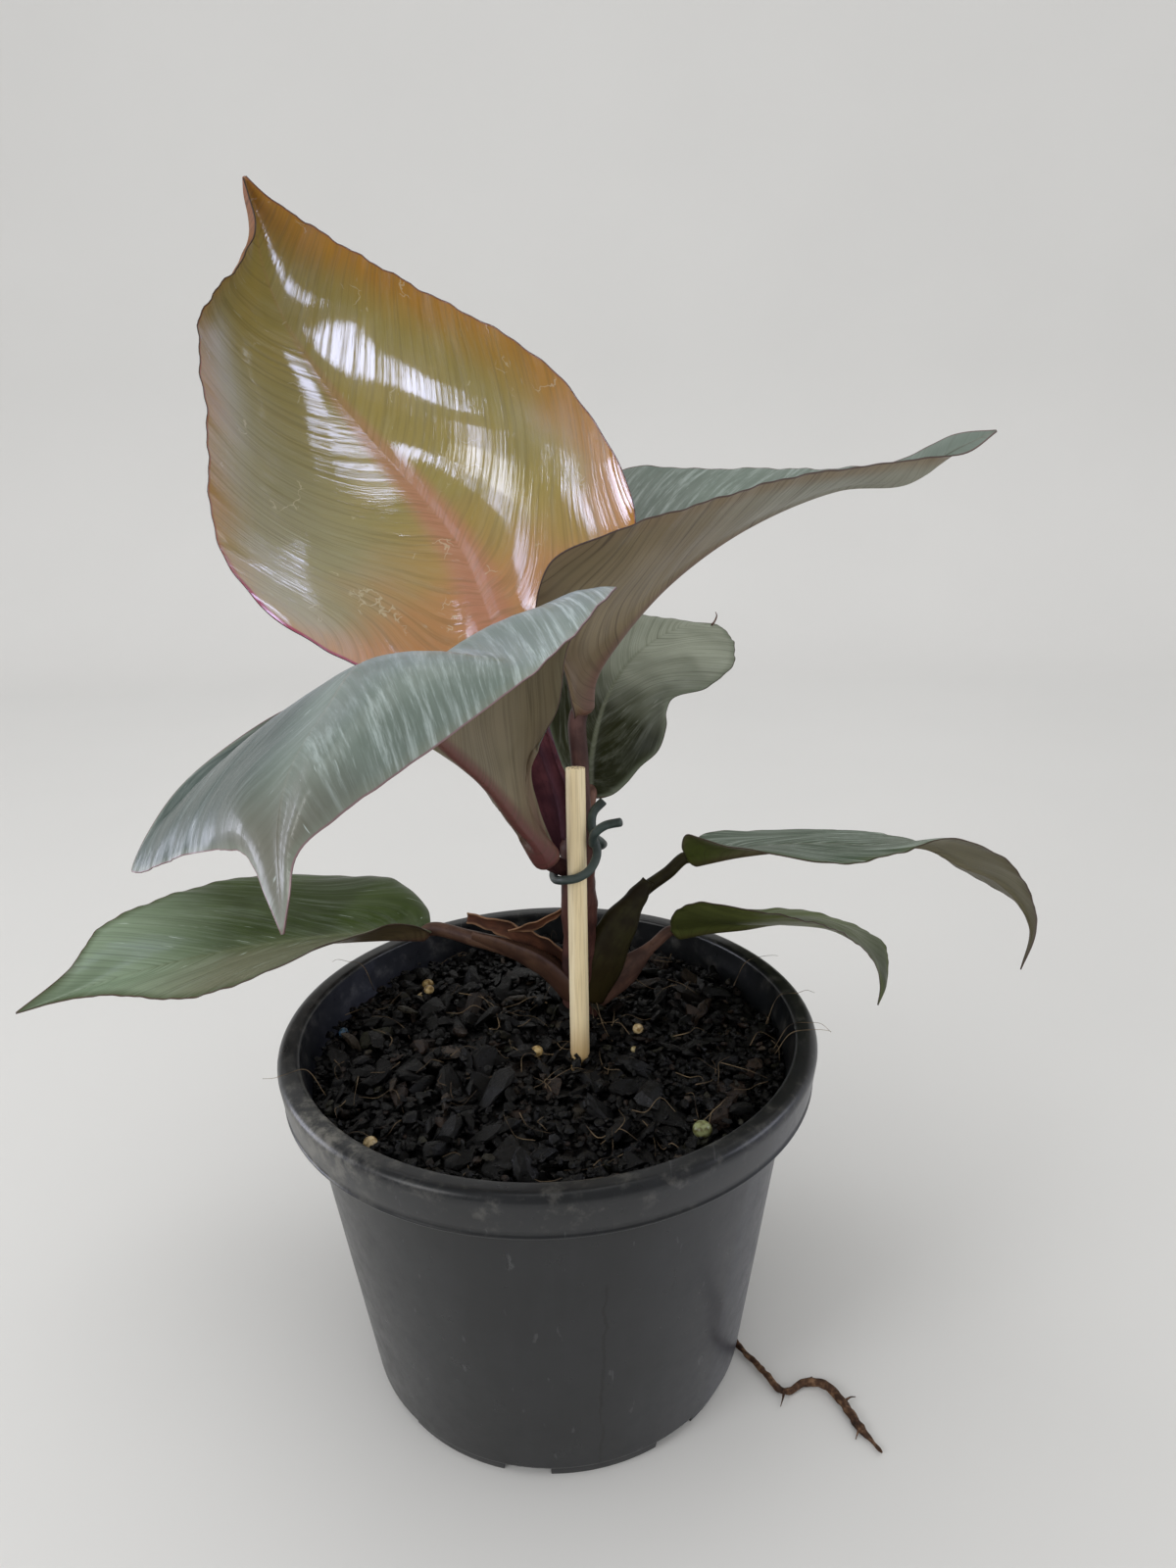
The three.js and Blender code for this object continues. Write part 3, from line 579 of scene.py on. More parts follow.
def moulded_polypropylene():
    """Recycled charcoal polypropylene, injection moulded: a soft sheen, flow streaks, scuffs and dust."""
    material, tree, surface = new_finish("moulded charcoal polypropylene", roughness=0.32, ior=1.49)
    place = millimetres(tree)
    x, y, z = add(tree, "SeparateXYZ", {0: place}).outputs
    stretched = add(tree, "Mapping", {"Vector": place, "Scale": (1, 1, 0.12)})
    flow = add(tree, "TexNoise", {"Vector": stretched, "Scale": 1 / 9, "Detail": 4, "Roughness": 0.6})
    cloud = add(tree, "TexNoise", {"Vector": place, "Scale": 1 / 26, "Detail": 4})
    grime = add(tree, "TexNoise", {"Vector": place, "Scale": 1 / 5, "Detail": 6, "Roughness": 0.7})
    fine = add(tree, "TexNoise", {"Vector": place, "Scale": 1 / 0.8, "Detail": 2})
    skin = lay(tree, colour("#141618"), "#1A1C1F", (cloud, 0.3, 0.7))
    skin = lay(tree, skin, "#2B2D31", (flow, 0.45, 0.75), 0.2)

    # Pale mineral bloom and dust on the rim, and a patch of old dust where the rim has been held
    skin = lay(tree, skin, "#77756F", (grime, 0.5, 0.72), (z, POT_HEIGHT - 16, POT_HEIGHT - 3), 0.28)
    held = add(tree, "VectorMath", {0: place, 1: (-47, -42, POT_HEIGHT)}, operation="DISTANCE")
    skin = lay(tree, skin, "#8A8880", (held.outputs["Value"], 26, 6), (grime, 0.4, 0.62), 0.45)

    # A hairline crack down the front
    wander = add(tree, "TexNoise", {"Vector": place, "Scale": 1 / 7, "Detail": 3})
    lean = add(tree, "Math", {0: z, 1: 0.037, 2: 9.2}, operation="MULTIPLY_ADD")
    line = add(tree, "Math", {0: wander, 1: 4, 2: lean}, operation="MULTIPLY_ADD")
    crack = add(tree, "Math", {0: x, 1: line, 2: 0.4}, operation="COMPARE")
    skin = lay(tree, skin, "#050506", crack, (y, -30, -31), (z, 68, 66), (flow, 0.36, 0.44), 0.85)

    # Scratches: thin broken lines drawn from a stretched pattern
    slanted = add(tree, "Mapping", {"Vector": place, "Rotation": (0.5, 0.3, 0.9), "Scale": (1, 0.05, 0.3)})
    scratches = add(tree, "TexNoise", {"Vector": slanted, "Scale": 1 / 2.2, "Detail": 2})
    skin = lay(tree, skin, "#6B6C6E", (scratches, 0.70, 0.74), 0.2)
    gloss = add(tree, "MapRange", {"Value": grime, "From Min": 0.3, "From Max": 0.75,
                                   "To Min": 0.26, "To Max": 0.4})
    heights = add(tree, "Math", {0: fine, 1: 0.5, 2: flow}, operation="MULTIPLY_ADD")
    dress(tree, surface, skin, heights, 0.12, 0.1, Roughness=gloss)
    return material


def composted_bark():
    """Moist composted bark: near black, with layered fibre and a wet glint on its cut faces."""
    material, tree, surface = new_finish("composted bark", roughness=0.62, ior=1.45, specular_ior_level=0.4)
    place = millimetres(tree)
    grain = add(tree, "TexNoise", {"Vector": place, "Scale": 1 / 1.6, "Detail": 5, "Roughness": 0.7})
    skin = add(tree, "ValToRGB", {0: point_value(tree, "tone")},
               stops=((0, "#030303"), (1, "#463C34"), (0.55, "#060606"), (0.86, "#0D0C0B"), (0.95, "#34271F"),
                      (0.975, "#2A2C20")))
    skin = darken(tree, skin, "#5A5450", (grain, 0.3, 0.62))
    gloss = add(tree, "MapRange", {"Value": grain, "From Min": 0.35, "From Max": 0.7,
                                   "To Min": 0.22, "To Max": 0.7})
    dress(tree, surface, skin, grain, 0.9, 0.4, Roughness=gloss)
    return material


def coated_prill():
    """Coated fertiliser prill: a smooth resin skin, tan to mustard, with a soft shine."""
    material, tree, surface = new_finish("resin coated prill", roughness=0.3, ior=1.5)
    skin = add(tree, "ValToRGB", {0: point_value(tree, "tone")},
               stops=((0, "#B49A62"), (0.98, "#2C4A63"), (0.5, "#C9B48A"), (0.8, "#8D9468")))
    mottle = add(tree, "TexNoise", {"Vector": millimetres(tree), "Scale": 1 / 1.2, "Detail": 3})
    feed(tree, surface, {"Base Color": darken(tree, skin, "#A89A80", (mottle, 0.35, 0.6))})
    return material


def bare_bamboo():
    """Split bamboo turned to a dowel: straight fibre bundles, pale straw, open pores on the cut end."""
    material, tree, surface = new_finish("bare bamboo", roughness=0.55, ior=1.5)
    lean = Vector(STAKE_TOP) - Vector(STAKE_FOOT)
    turn = lean.to_track_quat("Z", "Y").inverted().to_euler()
    upright = millimetres(tree)
    place = add(tree, "Mapping", {"Vector": upright, "Rotation": tuple(turn)})
    drawn = add(tree, "Mapping", {"Vector": place, "Scale": (1, 1, 0.03)})
    fibre = add(tree, "TexNoise", {"Vector": drawn, "Scale": 1 / 0.42, "Detail": 3, "Roughness": 0.55})
    cloud = add(tree, "TexNoise", {"Vector": drawn, "Scale": 1 / 2.6, "Detail": 2})
    pores = add(tree, "TexNoise", {"Vector": place, "Scale": 1 / 0.55, "Detail": 3})
    height = add(tree, "SeparateXYZ", {0: upright}).outputs[2]
    on_axis = add(tree, "SeparateXYZ", {0: place}).outputs[2]
    cut_height = Vector(STAKE_TOP).dot(lean.normalized())
    skin = lay(tree, colour("#FFF0CC"), "#F6E3B8", (cloud, 0.35, 0.65))
    skin = lay(tree, skin, "#B39A68", (fibre, 0.54, 0.36), 0.3)
    skin = lay(tree, skin, "#A3792F", (height, SOIL_TOP + 13, SOIL_TOP - 1), 0.7)
    skin = lay(tree, skin, "#6E4E2C", (pores, 0.52, 0.6), (on_axis, cut_height - 0.3, cut_height - 0.1), 0.8)
    dress(tree, surface, skin, fibre, 0.5, 0.12)
    return material


def soft_tie_plastic():
    """Soft extruded tie plastic: dull grey green with dust in its fine pores."""
    material, tree, surface = new_finish("soft extruded plastic", roughness=0.5, ior=1.48)
    place = millimetres(tree)
    pores = add(tree, "TexNoise", {"Vector": place, "Scale": 1 / 0.5, "Detail": 3})
    cloud = add(tree, "TexNoise", {"Vector": place, "Scale": 1 / 4, "Detail": 2})
    skin = lay(tree, colour("#303B39"), "#43504D", (cloud, 0.35, 0.65))
    dress(tree, surface, skin, pores, 0.4, 0.08)
    return material


def root_bark():
    """Dried root bark: brown, flaky and banded, with paler bare patches."""
    material, tree, surface = new_finish("dried root bark", roughness=0.8, ior=1.4)
    place = millimetres(tree)
    bands = add(tree, "TexNoise", {"Vector": place, "Scale": 1 / 2.4, "Detail": 5, "Roughness": 0.7})
    skin = add(tree, "ValToRGB", {0: bands}, stops=((0.32, "#20150F"), (0.72, "#8E6F54"), (0.5, "#4E3524")))
    dress(tree, surface, skin, bands, 0.8, 0.3)
    return material


def thin_fibre():
    """Fine root and bark fibre, dry and pale brown."""
    material, tree, surface = new_finish("dry fibre", roughness=0.7, ior=1.4)
    tone = add(tree, "TexNoise", {"Vector": millimetres(tree), "Scale": 1 / 6, "Detail": 2})
    skin = add(tree, "ValToRGB", {0: tone}, stops=((0.35, "#2E241B"), (0.7, "#8A765A")))
    feed(tree, surface, {"Base Color": skin})
    return material


# Studio

def set_camera():
    pitch, roll = math.radians(CAMERA_PITCH), math.radians(CAMERA_ROLL)
    ahead = Vector((0, math.cos(pitch), -math.sin(pitch)))
    level = Vector((1, 0, 0))
    above = level.cross(ahead)
    right = level * math.cos(roll) + above * math.sin(roll)
    up = above * math.cos(roll) - level * math.sin(roll)
    camera = bpy.data.cameras.new("camera")
    camera.lens = FOCAL_PIXELS * SENSOR / PICTURE_HEIGHT
    camera.sensor_width = SENSOR
    camera.clip_start = 0.01
    seat = bpy.data.objects.new("camera", camera)
    bpy.context.scene.collection.objects.link(seat)
    turned = Matrix((right, up, -ahead)).transposed().to_4x4()
    seat.matrix_world = Matrix.Translation(Vector(CAMERA_PLACE) * MM) @ turned
    bpy.context.scene.camera = seat


def add_lamp(name, place, target, width, height, watts, tint="#FFFFFF", gleam_only=False):
    """A soft box. One that is for gleam alone adds a reflection and no brightness."""
    lamp = bpy.data.lights.new(name, "AREA")
    lamp.shape = "RECTANGLE"
    lamp.size, lamp.size_y = width, height
    lamp.energy = watts
    lamp.color = colour(tint)[:3]
    stand = bpy.data.objects.new(name, lamp)
    stand.location = place
    stand.rotation_euler = (Vector(target) - Vector(place)).to_track_quat("-Z", "Y").to_euler()
    stand.visible_diffuse = not gleam_only
    stand.visible_camera = False
    bpy.context.scene.collection.objects.link(stand)
    return stand


def make_backdrop():
    """A pale floor that curves up into a pale wall."""
    deselect_all()
    bpy.ops.mesh.primitive_plane_add(size=2 * FLOOR_HALF)
    floor = bpy.context.object
    floor.name = "floor"
    for vertex in floor.data.vertices:
        vertex.co.y = min(vertex.co.y, WALL_PLACE)
    bpy.ops.object.mode_set(mode="EDIT")
    bpy.ops.mesh.select_all(action="DESELECT")
    bpy.ops.object.mode_set(mode="OBJECT")
    for edge in floor.data.edges:
        edge.select = all(floor.data.vertices[k].co.y > 0 for k in edge.vertices)
    bpy.ops.object.mode_set(mode="EDIT")
    bpy.ops.mesh.select_mode(type="EDGE")
    bpy.ops.mesh.extrude_region_move(TRANSFORM_OT_translate={"value": (0, WALL_LEAN, WALL_RISE)})
    bpy.ops.object.mode_set(mode="OBJECT")
    soften = floor.modifiers.new("soften", "BEVEL")
    soften.width = FLOOR_CURVE
    soften.segments = 12
    apply_modifiers(floor)
    floor.data.polygons.foreach_set("use_smooth", [True] * len(floor.data.polygons))
    material, tree, surface = new_finish("pale painted board", roughness=0.8, specular_ior_level=0.0)
    shade = add(tree, "TexNoise", {"Vector": millimetres(tree), "Scale": 1 / 180, "Detail": 2})
    feed(tree, surface, {"Base Color": lay(tree, colour("#DCDCDB"), "#E1E1E0", shade)})
    floor.data.materials.append(material)


def light_studio():
    """The room is bright all round, and dim where the waxed leaves would mirror it."""
    world = bpy.data.worlds.new("studio")
    world.use_nodes = True
    tree = world.node_tree
    ray = add(tree, "LightPath", {})
    strength = add(tree, "MapRange", {"Value": ray.outputs["Is Glossy Ray"], "To Min": ROOM_LIGHT,
                                      "To Max": ROOM_MIRRORED})
    feed(tree, tree.nodes["Background"], {"Color": colour("#F2F1F0"), "Strength": strength})
    bpy.context.scene.world = world
    bpy.context.scene.view_settings.view_transform = "Standard"
    add_lamp("overhead", (-0.15, 0.1, 1.0), (0, 0, 0.1), 0.6, 0.6, 1.3)
    add_lamp("key", (-0.58, -0.5, 0.52), (-0.03, 0, 0.2), 0.25, 0.25, 1.3)
    add_lamp("left_gleam", (-0.9, 0.08, 0.18), (0, 0, 0.24), 0.4, 0.45, 3, COOL, gleam_only=True)
    add_lamp("right_gleam", (0.62, -0.02, 0.38), (0, 0, 0.2), 0.3, 0.2, 0.8, COOL, gleam_only=True)


# Soft boxes that one piece mirrors: azimuth from the front, elevation, width and height in degrees, radiance
MIRRORS = {
    "upright_leaf": {
        "ring_left": (18, 9, 18, 38, 20), "ring_low": (-9, 31, 34, 9, 20), "ring_top": (-31, -26, 26, 14, 24),
        "ring_right": (-46, 8, 12, 58, 12), "right_margin": (-94, -5, 30, 34, 20),
        "neck": (-90, -84, 60, 14, 20), "left_margin": (125, 5, 50, 34, 16),
        "low_margin": (128, 50, 50, 34, 20),
    },
    "front_leaf": {"near_half": (-162, 28, 30, 40, 3)},
    "low_left_leaf": {"tip": (-10, 38, 24, 30, 5)},
    "nursery_pot": {"right_side": (100, -28, 44, 60, 1.6)},
}

# The boxes that would stand behind floor or wall come near: the spot they face, and how far off they are
NEAR = {
    "ring_top": ((-45, 49, 266), 0.45), "neck": ((-63, 34, 291), 0.27), "left_margin": ((-76, 27, 246), 1.5),
}


def collect(name, piece):
    collection = bpy.data.collections.new(name)
    collection.objects.link(piece)
    return collection


def mirror_lamps(piece, mirrors):
    """Soft boxes that light one piece alone. Only the root could block them, and it lies out of the way."""
    alone = collect("mirrors of " + piece.name, piece)
    aside = collect("aside of " + piece.name, bpy.data.objects["escaped_root"])
    middle = sum((Vector(corner) for corner in piece.bound_box), Vector()) / 8 / MM
    for name, (azimuth, elevation, wide, high, radiance) in mirrors.items():
        turn, lift = math.radians(azimuth), math.radians(elevation)
        way = Vector((math.sin(turn) * math.cos(lift), -math.cos(turn) * math.cos(lift), math.sin(lift)))
        spot, distance = NEAR.get(name, (middle, FAR))
        spot = Vector(spot) * MM
        width, height = (2 * distance * math.tan(math.radians(angle / 2)) for angle in (wide, high))
        watts = radiance * math.pi * width * height
        stand = add_lamp(name, spot + way * distance, spot, width, height, watts, SKY, gleam_only=True)
        stand.light_linking.receiver_collection = alone
        stand.light_linking.blocker_collection = aside


# Pot

def arc(centre_r, centre_z, radius, start, end, steps):
    """Profile points on an arc, with its angles in degrees."""
    turns = np.radians(np.linspace(start, end, steps + 1))
    return [(centre_r + radius * math.cos(t), centre_z + radius * math.sin(t)) for t in turns]


def pot_profile():
    """Half section of the pot, from the middle of its foot, out, over the rim and down inside."""
    rim_inner = RIM_RADIUS - RIM_WIDTH
    skirt = POT_HEIGHT - SKIRT_DEPTH
    under_rim = POT_HEIGHT - RIM_ROUND
    return [
        (0, 0.01), (PAD_RADIUS, 0), (PAD_RADIUS + 1, FOOT_HEIGHT),
        (FOOT_RADIUS - FOOT_WIDTH, FOOT_HEIGHT), (FOOT_RADIUS - FOOT_WIDTH + 0.6, 0), (FOOT_RADIUS, 0),
        (FOOT_RADIUS + 0.5, FOOT_HEIGHT),
        *arc(BODY_BASE_RADIUS - 1, FOOT_HEIGHT + 1.2, 1, -80, 0, 4),
        (BODY_TOP_RADIUS, skirt + 2), (BODY_TOP_RADIUS + 0.5, under_rim),
        (RIM_RADIUS - WALL - 0.5, under_rim), (RIM_RADIUS - WALL - 0.9, skirt),
        *arc(RIM_RADIUS - 1.25, skirt + SKIRT_ROUND, SKIRT_ROUND, -70, 60, 5),
        (RIM_RADIUS - 1.15, skirt + 1.3), (RIM_RADIUS - 0.8, skirt + 2.4),
        (RIM_RADIUS - 0.1, POT_HEIGHT - 3.2),
        *arc(RIM_RADIUS - RIM_ROUND, under_rim, RIM_ROUND, 0, 90, 8),
        *arc(rim_inner + INNER_ROUND, POT_HEIGHT - INNER_ROUND, INNER_ROUND, 90, 185, 7),
        (rim_inner - 0.8, POT_HEIGHT - 5), (BODY_TOP_RADIUS - WALL, skirt),
        (BODY_BASE_RADIUS - WALL, FLOOR_TOP + 1), (BODY_BASE_RADIUS - WALL - 1.2, FLOOR_TOP), (0, FLOOR_TOP),
    ]


def spin_pot():
    """The profile is laid out as a ring of points, opened, and spun round the axis."""
    profile = pot_profile()
    deselect_all()
    bpy.ops.mesh.primitive_circle_add(vertices=len(profile), radius=1, fill_type="NOTHING")
    pot = bpy.context.object
    pot.name = "nursery_pot"
    for vertex, (radius, height) in zip(pot.data.vertices, profile):
        vertex.co = Vector((radius, 0, height)) * MM
    pot.data.vertices.foreach_set("select", [False] * len(profile))
    for edge in pot.data.edges:
        edge.select = set(edge.vertices) == {0, len(profile) - 1}
    bpy.ops.object.mode_set(mode="EDIT")
    bpy.ops.mesh.select_mode(type="EDGE")
    bpy.ops.mesh.delete(type="EDGE_FACE")
    bpy.ops.mesh.select_all(action="SELECT")
    bpy.ops.mesh.spin(steps=POT_STEPS, angle=2 * math.pi, center=(0, 0, 0), axis=(0, 0, 1))
    close_seams(0.02 * MM)
    return pot


def gap_cutter():
    """Boxes that cut the foot gaps and the drain slots, joined in one."""
    gap_width = 2 * FOOT_RADIUS * math.sin(math.radians(GAP_ANGLE / 2))
    foot_cut = (FOOT_RADIUS - FOOT_WIDTH / 2, 0, (FOOT_WIDTH + 5, gap_width, 2 * FOOT_HEIGHT))
    floor_cut = (FOOT_RADIUS - FOOT_WIDTH - 1, FLOOR_TOP, (SLOT_DEPTH, gap_width - 2, 4 * WALL))
    cuts = []
    for i in range(GAP_COUNT):
        turn = math.radians(FIRST_GAP + i * 360 / GAP_COUNT)
        for reach, height, size in (foot_cut, floor_cut):
            place = Vector((reach * math.cos(turn), reach * math.sin(turn), height)) * MM
            deselect_all()
            bpy.ops.mesh.primitive_cube_add(
                size=1, location=place, rotation=(0, 0, turn), scale=Vector(size) * MM,
            )
            cuts.append(bpy.context.object)
    pick(*cuts)
    bpy.ops.object.join()
    return bpy.context.object


def make_pot():
    pot = spin_pot()
    cutter = gap_cutter()
    opened = pot.modifiers.new("gaps", "BOOLEAN")
    opened.operation = "DIFFERENCE"
    opened.solver = "EXACT"
    opened.use_self = True
    opened.object = cutter
    apply_modifiers(pot)
    bpy.data.objects.remove(cutter)
    softened = pot.modifiers.new("softened", "BEVEL")
    softened.width = POT_SOFTNESS * MM
    softened.segments = 2
    softened.limit_method = "ANGLE"
    softened.angle_limit = math.radians(50)
    apply_modifiers(pot)
    bpy.ops.object.shade_smooth_by_angle(angle=math.radians(35))
    pot.data.materials.append(moulded_polypropylene())
    claim(pot, "pot_plastic", "pot")


# Leaves. Points are in millimetres, from the blade's base to its tip, as the solids have them.

LEAVES = {
    "upright_leaf": dict(
        node="leaf_upright", slot="leaf_copper",
        stalk=[(6.4, 13.5, 146), (5, 14, 157), (1.5, 14, 170), (-3, 15, 184), (-7, 17, 192)],
        stalk_radius=(2.1, 2.4),
        midrib=[(-7, 17, 192), (-13, 26, 203), (-20, 35, 218), (-32, 44, 233), (-43, 49, 245), (-54, 51, 259),
                (-62, 48, 273), (-65, 40, 286), (-64, 32, 295), (-63, 23, 304)],
        left=[(-8, 16, 192), (-24, 12, 187), (-44, 10, 194), (-66, 11, 208), (-77, 16, 225), (-78, 23, 252),
              (-77, 25, 275), (-67, 26, 286), (-62, 25, 293), (-63, 23, 304)],
        right=[(-6, 17, 193), (7, 10, 196), (19, 8, 212), (24, 11, 226), (16, 20, 248), (1, 27, 265),
               (-29, 33, 282), (-45, 33, 291), (-53, 29, 296), (-59, 26, 300), (-63, 23, 304)],
        belly=[(0, 0, 0), (0.2, -6, -5), (0.5, -10, -8), (0.75, -7, -4), (0.9, -2, -1), (1, 0, 0)],
        quilt=0.05, ripple=0.3, curl=(0.5, 8),
    ),
    "right_leaf": dict(
        node="leaf_right", slot="leaf_green",
        stalk=[(10.6, 13, 146), (10, 14.5, 157), (9.6, 15.5, 167), (9.4, 16, 178)],
        stalk_radius=(2.1, 2.4),
        midrib=[(9.4, 16, 178), (11, 16, 188), (19, 15, 200), (32, 16, 213), (51, 18, 225), (74, 21, 233),
                (92, 24, 234), (103, 25, 241), (114, 26, 246)],
        left=[(10.5, 18, 178), (10, 32, 198), (6, 44, 222), (23, 52, 237), (43, 50, 237), (61, 46, 237),
              (76, 38, 237), (92, 33, 239), (104, 29, 245), (114, 26, 246)],
        right=[(8.5, 14, 178), (6, 5, 194), (1, -6, 206), (1, -12, 213), (5, -17, 222), (18, -18, 228),
               (39, -8, 233), (59, 4, 237), (83, 16, 239), (95, 21, 240), (106, 23, 241), (114, 26, 246)],
        belly=[(0, 0, 0), (0.3, -3, -3), (0.6, -2, -2), (1, 0, 0)],
        quilt=0.06, ripple=0.2, curl=(0.8, 8),
    ),
    "front_leaf": dict(
        node="leaf_front", slot="leaf_green",
        stalk=[(8.5, 12, 138), (5, 8.5, 139.5), (2, 6, 142)],
        stalk_radius=(2.1, 2.3),
        midrib=[(2, 6, 142), (-5, -2, 155), (-11, -12, 169), (-19, -25, 183), (-27, -37, 197),
                (-31, -46, 206), (-36, -60, 200), (-40, -71, 193), (-41, -80, 185), (-40, -87, 178),
                (-39, -92, 171)],
        left=[(4, 6, 143), (-1, 3, 159), (-2, -3, 172), (5, -10, 187), (8, -22, 204), (13, -33, 214),
              (18, -41, 220), (5, -56, 209), (-14, -68, 197), (-30, -79, 188), (-37, -85, 183),
              (-38, -89, 177), (-39, -92, 171)],
        right=[(-1, 8, 141), (-8, 3, 154), (-14, -4, 167), (-23, -11, 180), (-33, -19, 194), (-48, -28, 195),
               (-67, -38, 185), (-75, -46, 177), (-80, -52, 167), (-63, -64, 175), (-48, -78, 180),
               (-43, -86, 176), (-39, -92, 171)],
        belly=[(0, 0, 0), (0.15, 1, 1), (0.3, 4, 2), (0.44, 9, 2), (0.5, 10.5, 2), (0.56, 10.5, 3),
               (0.64, 2.5, 3), (0.72, 5, 3), (0.85, 4.5, 3), (1, 0, 0)],
        quilt=0.07, ripple=0.25, curl=(1, 14),
    ),
    "back_leaf": dict(
        node="leaf_back", slot="leaf_green",
        stalk=[(9.8, 16.5, 145), (11, 18.5, 150), (12, 20, 155)],
        stalk_radius=(1.9, 1.9),
        midrib=[(12, 20, 155), (13, 27, 164), (17, 42, 175), (25, 60, 183), (39, 77, 188), (53, 88, 188)],
        left=[(11, 21, 155), (4, 30, 161), (0, 44, 174), (6, 60, 187), (17, 72, 192), (31, 82, 192),
              (45, 87, 189), (53, 88, 188)],
        right=[(13.5, 19.5, 155), (18, 21, 155), (22, 24, 157), (26, 28, 160), (31, 34, 163), (34, 42, 168),
               (36, 50, 173), (48, 62, 174), (57, 74, 178), (58, 82, 183), (56, 87, 186), (53, 88, 188)],
        belly=[(0, 0, 0), (0.3, -3, 3), (0.6, 3, 4), (1, 0, 0)],
        quilt=0.16, ripple=0.3, lean=1.4, curl=(0.6, 7),
    ),
    "low_left_leaf": dict(
        node="leaf_low_left", slot="leaf_green",
        stalk=[(8, 18, 97), (-1, 22, 104), (-12, 25, 108), (-23, 28, 110), (-34, 30, 112)],
        stalk_radius=(3.1, 2),
        midrib=[(-34, 30, 112), (-46, 29, 112), (-65, 26, 112), (-83, 23, 111), (-103, 19, 109),
                (-123, 16, 105), (-136, 14, 101), (-149, 13, 97)],
        left=[(-34, 27, 112), (-37, 20, 118), (-43, 15, 121), (-51, 9, 121), (-60, 4, 120), (-74, 0, 115),
              (-96, 2, 107), (-120, 8, 105), (-136, 12, 101), (-149, 13, 97)],
        right=[(-35, 33, 111), (-37, 42, 113), (-48, 52, 118), (-70, 54, 119), (-88, 51, 121),
               (-102, 45, 121), (-116, 35, 120), (-127, 25, 117), (-133, 16, 109), (-149, 13, 97)],
        belly=[(0, 0, 0), (0.3, 0, 3), (0.6, 0, 2), (1, 0, 0)],
        quilt=0.08, ripple=0.2, lean=2.2, curl=(0.5, 6),
    ),
    "mid_right_leaf": dict(
        node="leaf_mid_right", slot="leaf_green",
        stalk=[(9, 18, 101), (18, 19, 117), (26, 20, 127), (33, 21, 132), (38, 22, 136)],
        stalk_radius=(2.6, 1.7),
        midrib=[(38, 22, 136), (44, 22, 137), (57, 21, 139), (71, 20, 140), (87, 18, 140), (101, 15, 141),
                (111, 13, 136), (120, 12, 132), (127, 10, 125), (130, 9, 117), (128, 9, 106)],
        left=[(38, 24, 135), (41, 32, 136), (46, 40, 136), (64, 44, 135), (89, 42, 135), (103, 34, 135),
              (110, 25, 133), (119, 21, 128), (127, 16, 124), (130, 11, 118), (128, 9, 106)],
        right=[(38, 20, 137), (36, 13, 143), (37, 7, 149), (41, 3, 149), (47, 0, 148), (58, -3, 147),
               (74, -3, 144), (90, 1, 145), (99, 3, 147), (106, 2, 148), (119, 2, 141), (127, 4, 129),
               (130, 7, 118), (128, 9, 106)],
        belly=[(0, 0, 0), (1, 0, 0)],
        quilt=0.06, ripple=0.2, lean=2.2, curl=(0.5, 6),
    ),
    "low_right_leaf": dict(
        node="leaf_low_right", slot="leaf_green",
        stalk=[(10, 20, 93.5), (22, 25, 101.5), (29, 28, 106), (35, 30, 110)],
        stalk_radius=(1.9, 1.6),
        midrib=[(35, 30, 110), (47, 30, 111), (56, 31, 111), (65, 33, 111), (79, 36, 109), (90, 38, 103),
                (98, 38, 93), (100, 37, 87), (98, 36, 80)],
        left=[(36, 33, 109), (40, 44, 107), (53, 52, 106), (64, 55, 104), (73, 56, 104), (91, 54, 100),
              (102, 48, 95), (102, 42, 91), (101, 39, 85), (98, 36, 80)],
        right=[(35, 28, 112), (34, 20, 119), (37, 13, 126), (43, 10, 128), (53, 10, 126), (65, 13, 122),
               (75, 18, 117), (83, 24, 111), (95, 33, 97), (98, 35, 88), (98, 36, 80)],
        belly=[(0, 0, 0), (0.4, -2, -2), (1, 0, 0)],
        quilt=0.05, ripple=0.2, lean=2.2, curl=(0.6, 5),
    ),
}

# The dried hook at the tip of the back leaf, which stands up from its rolled end
BACK_HOOK = [(51.5, 86.6, 187.6), (52.6, 87.3, 188.9), (53.2, 87.4, 190.6), (52.8, 87.3, 191.8)]

# Shared values of the undersides
UNDERSIDE = dict(line_share=0.35, vein_share=0.4, edge_width=0.3, roughness=0.45, coat=0.05)

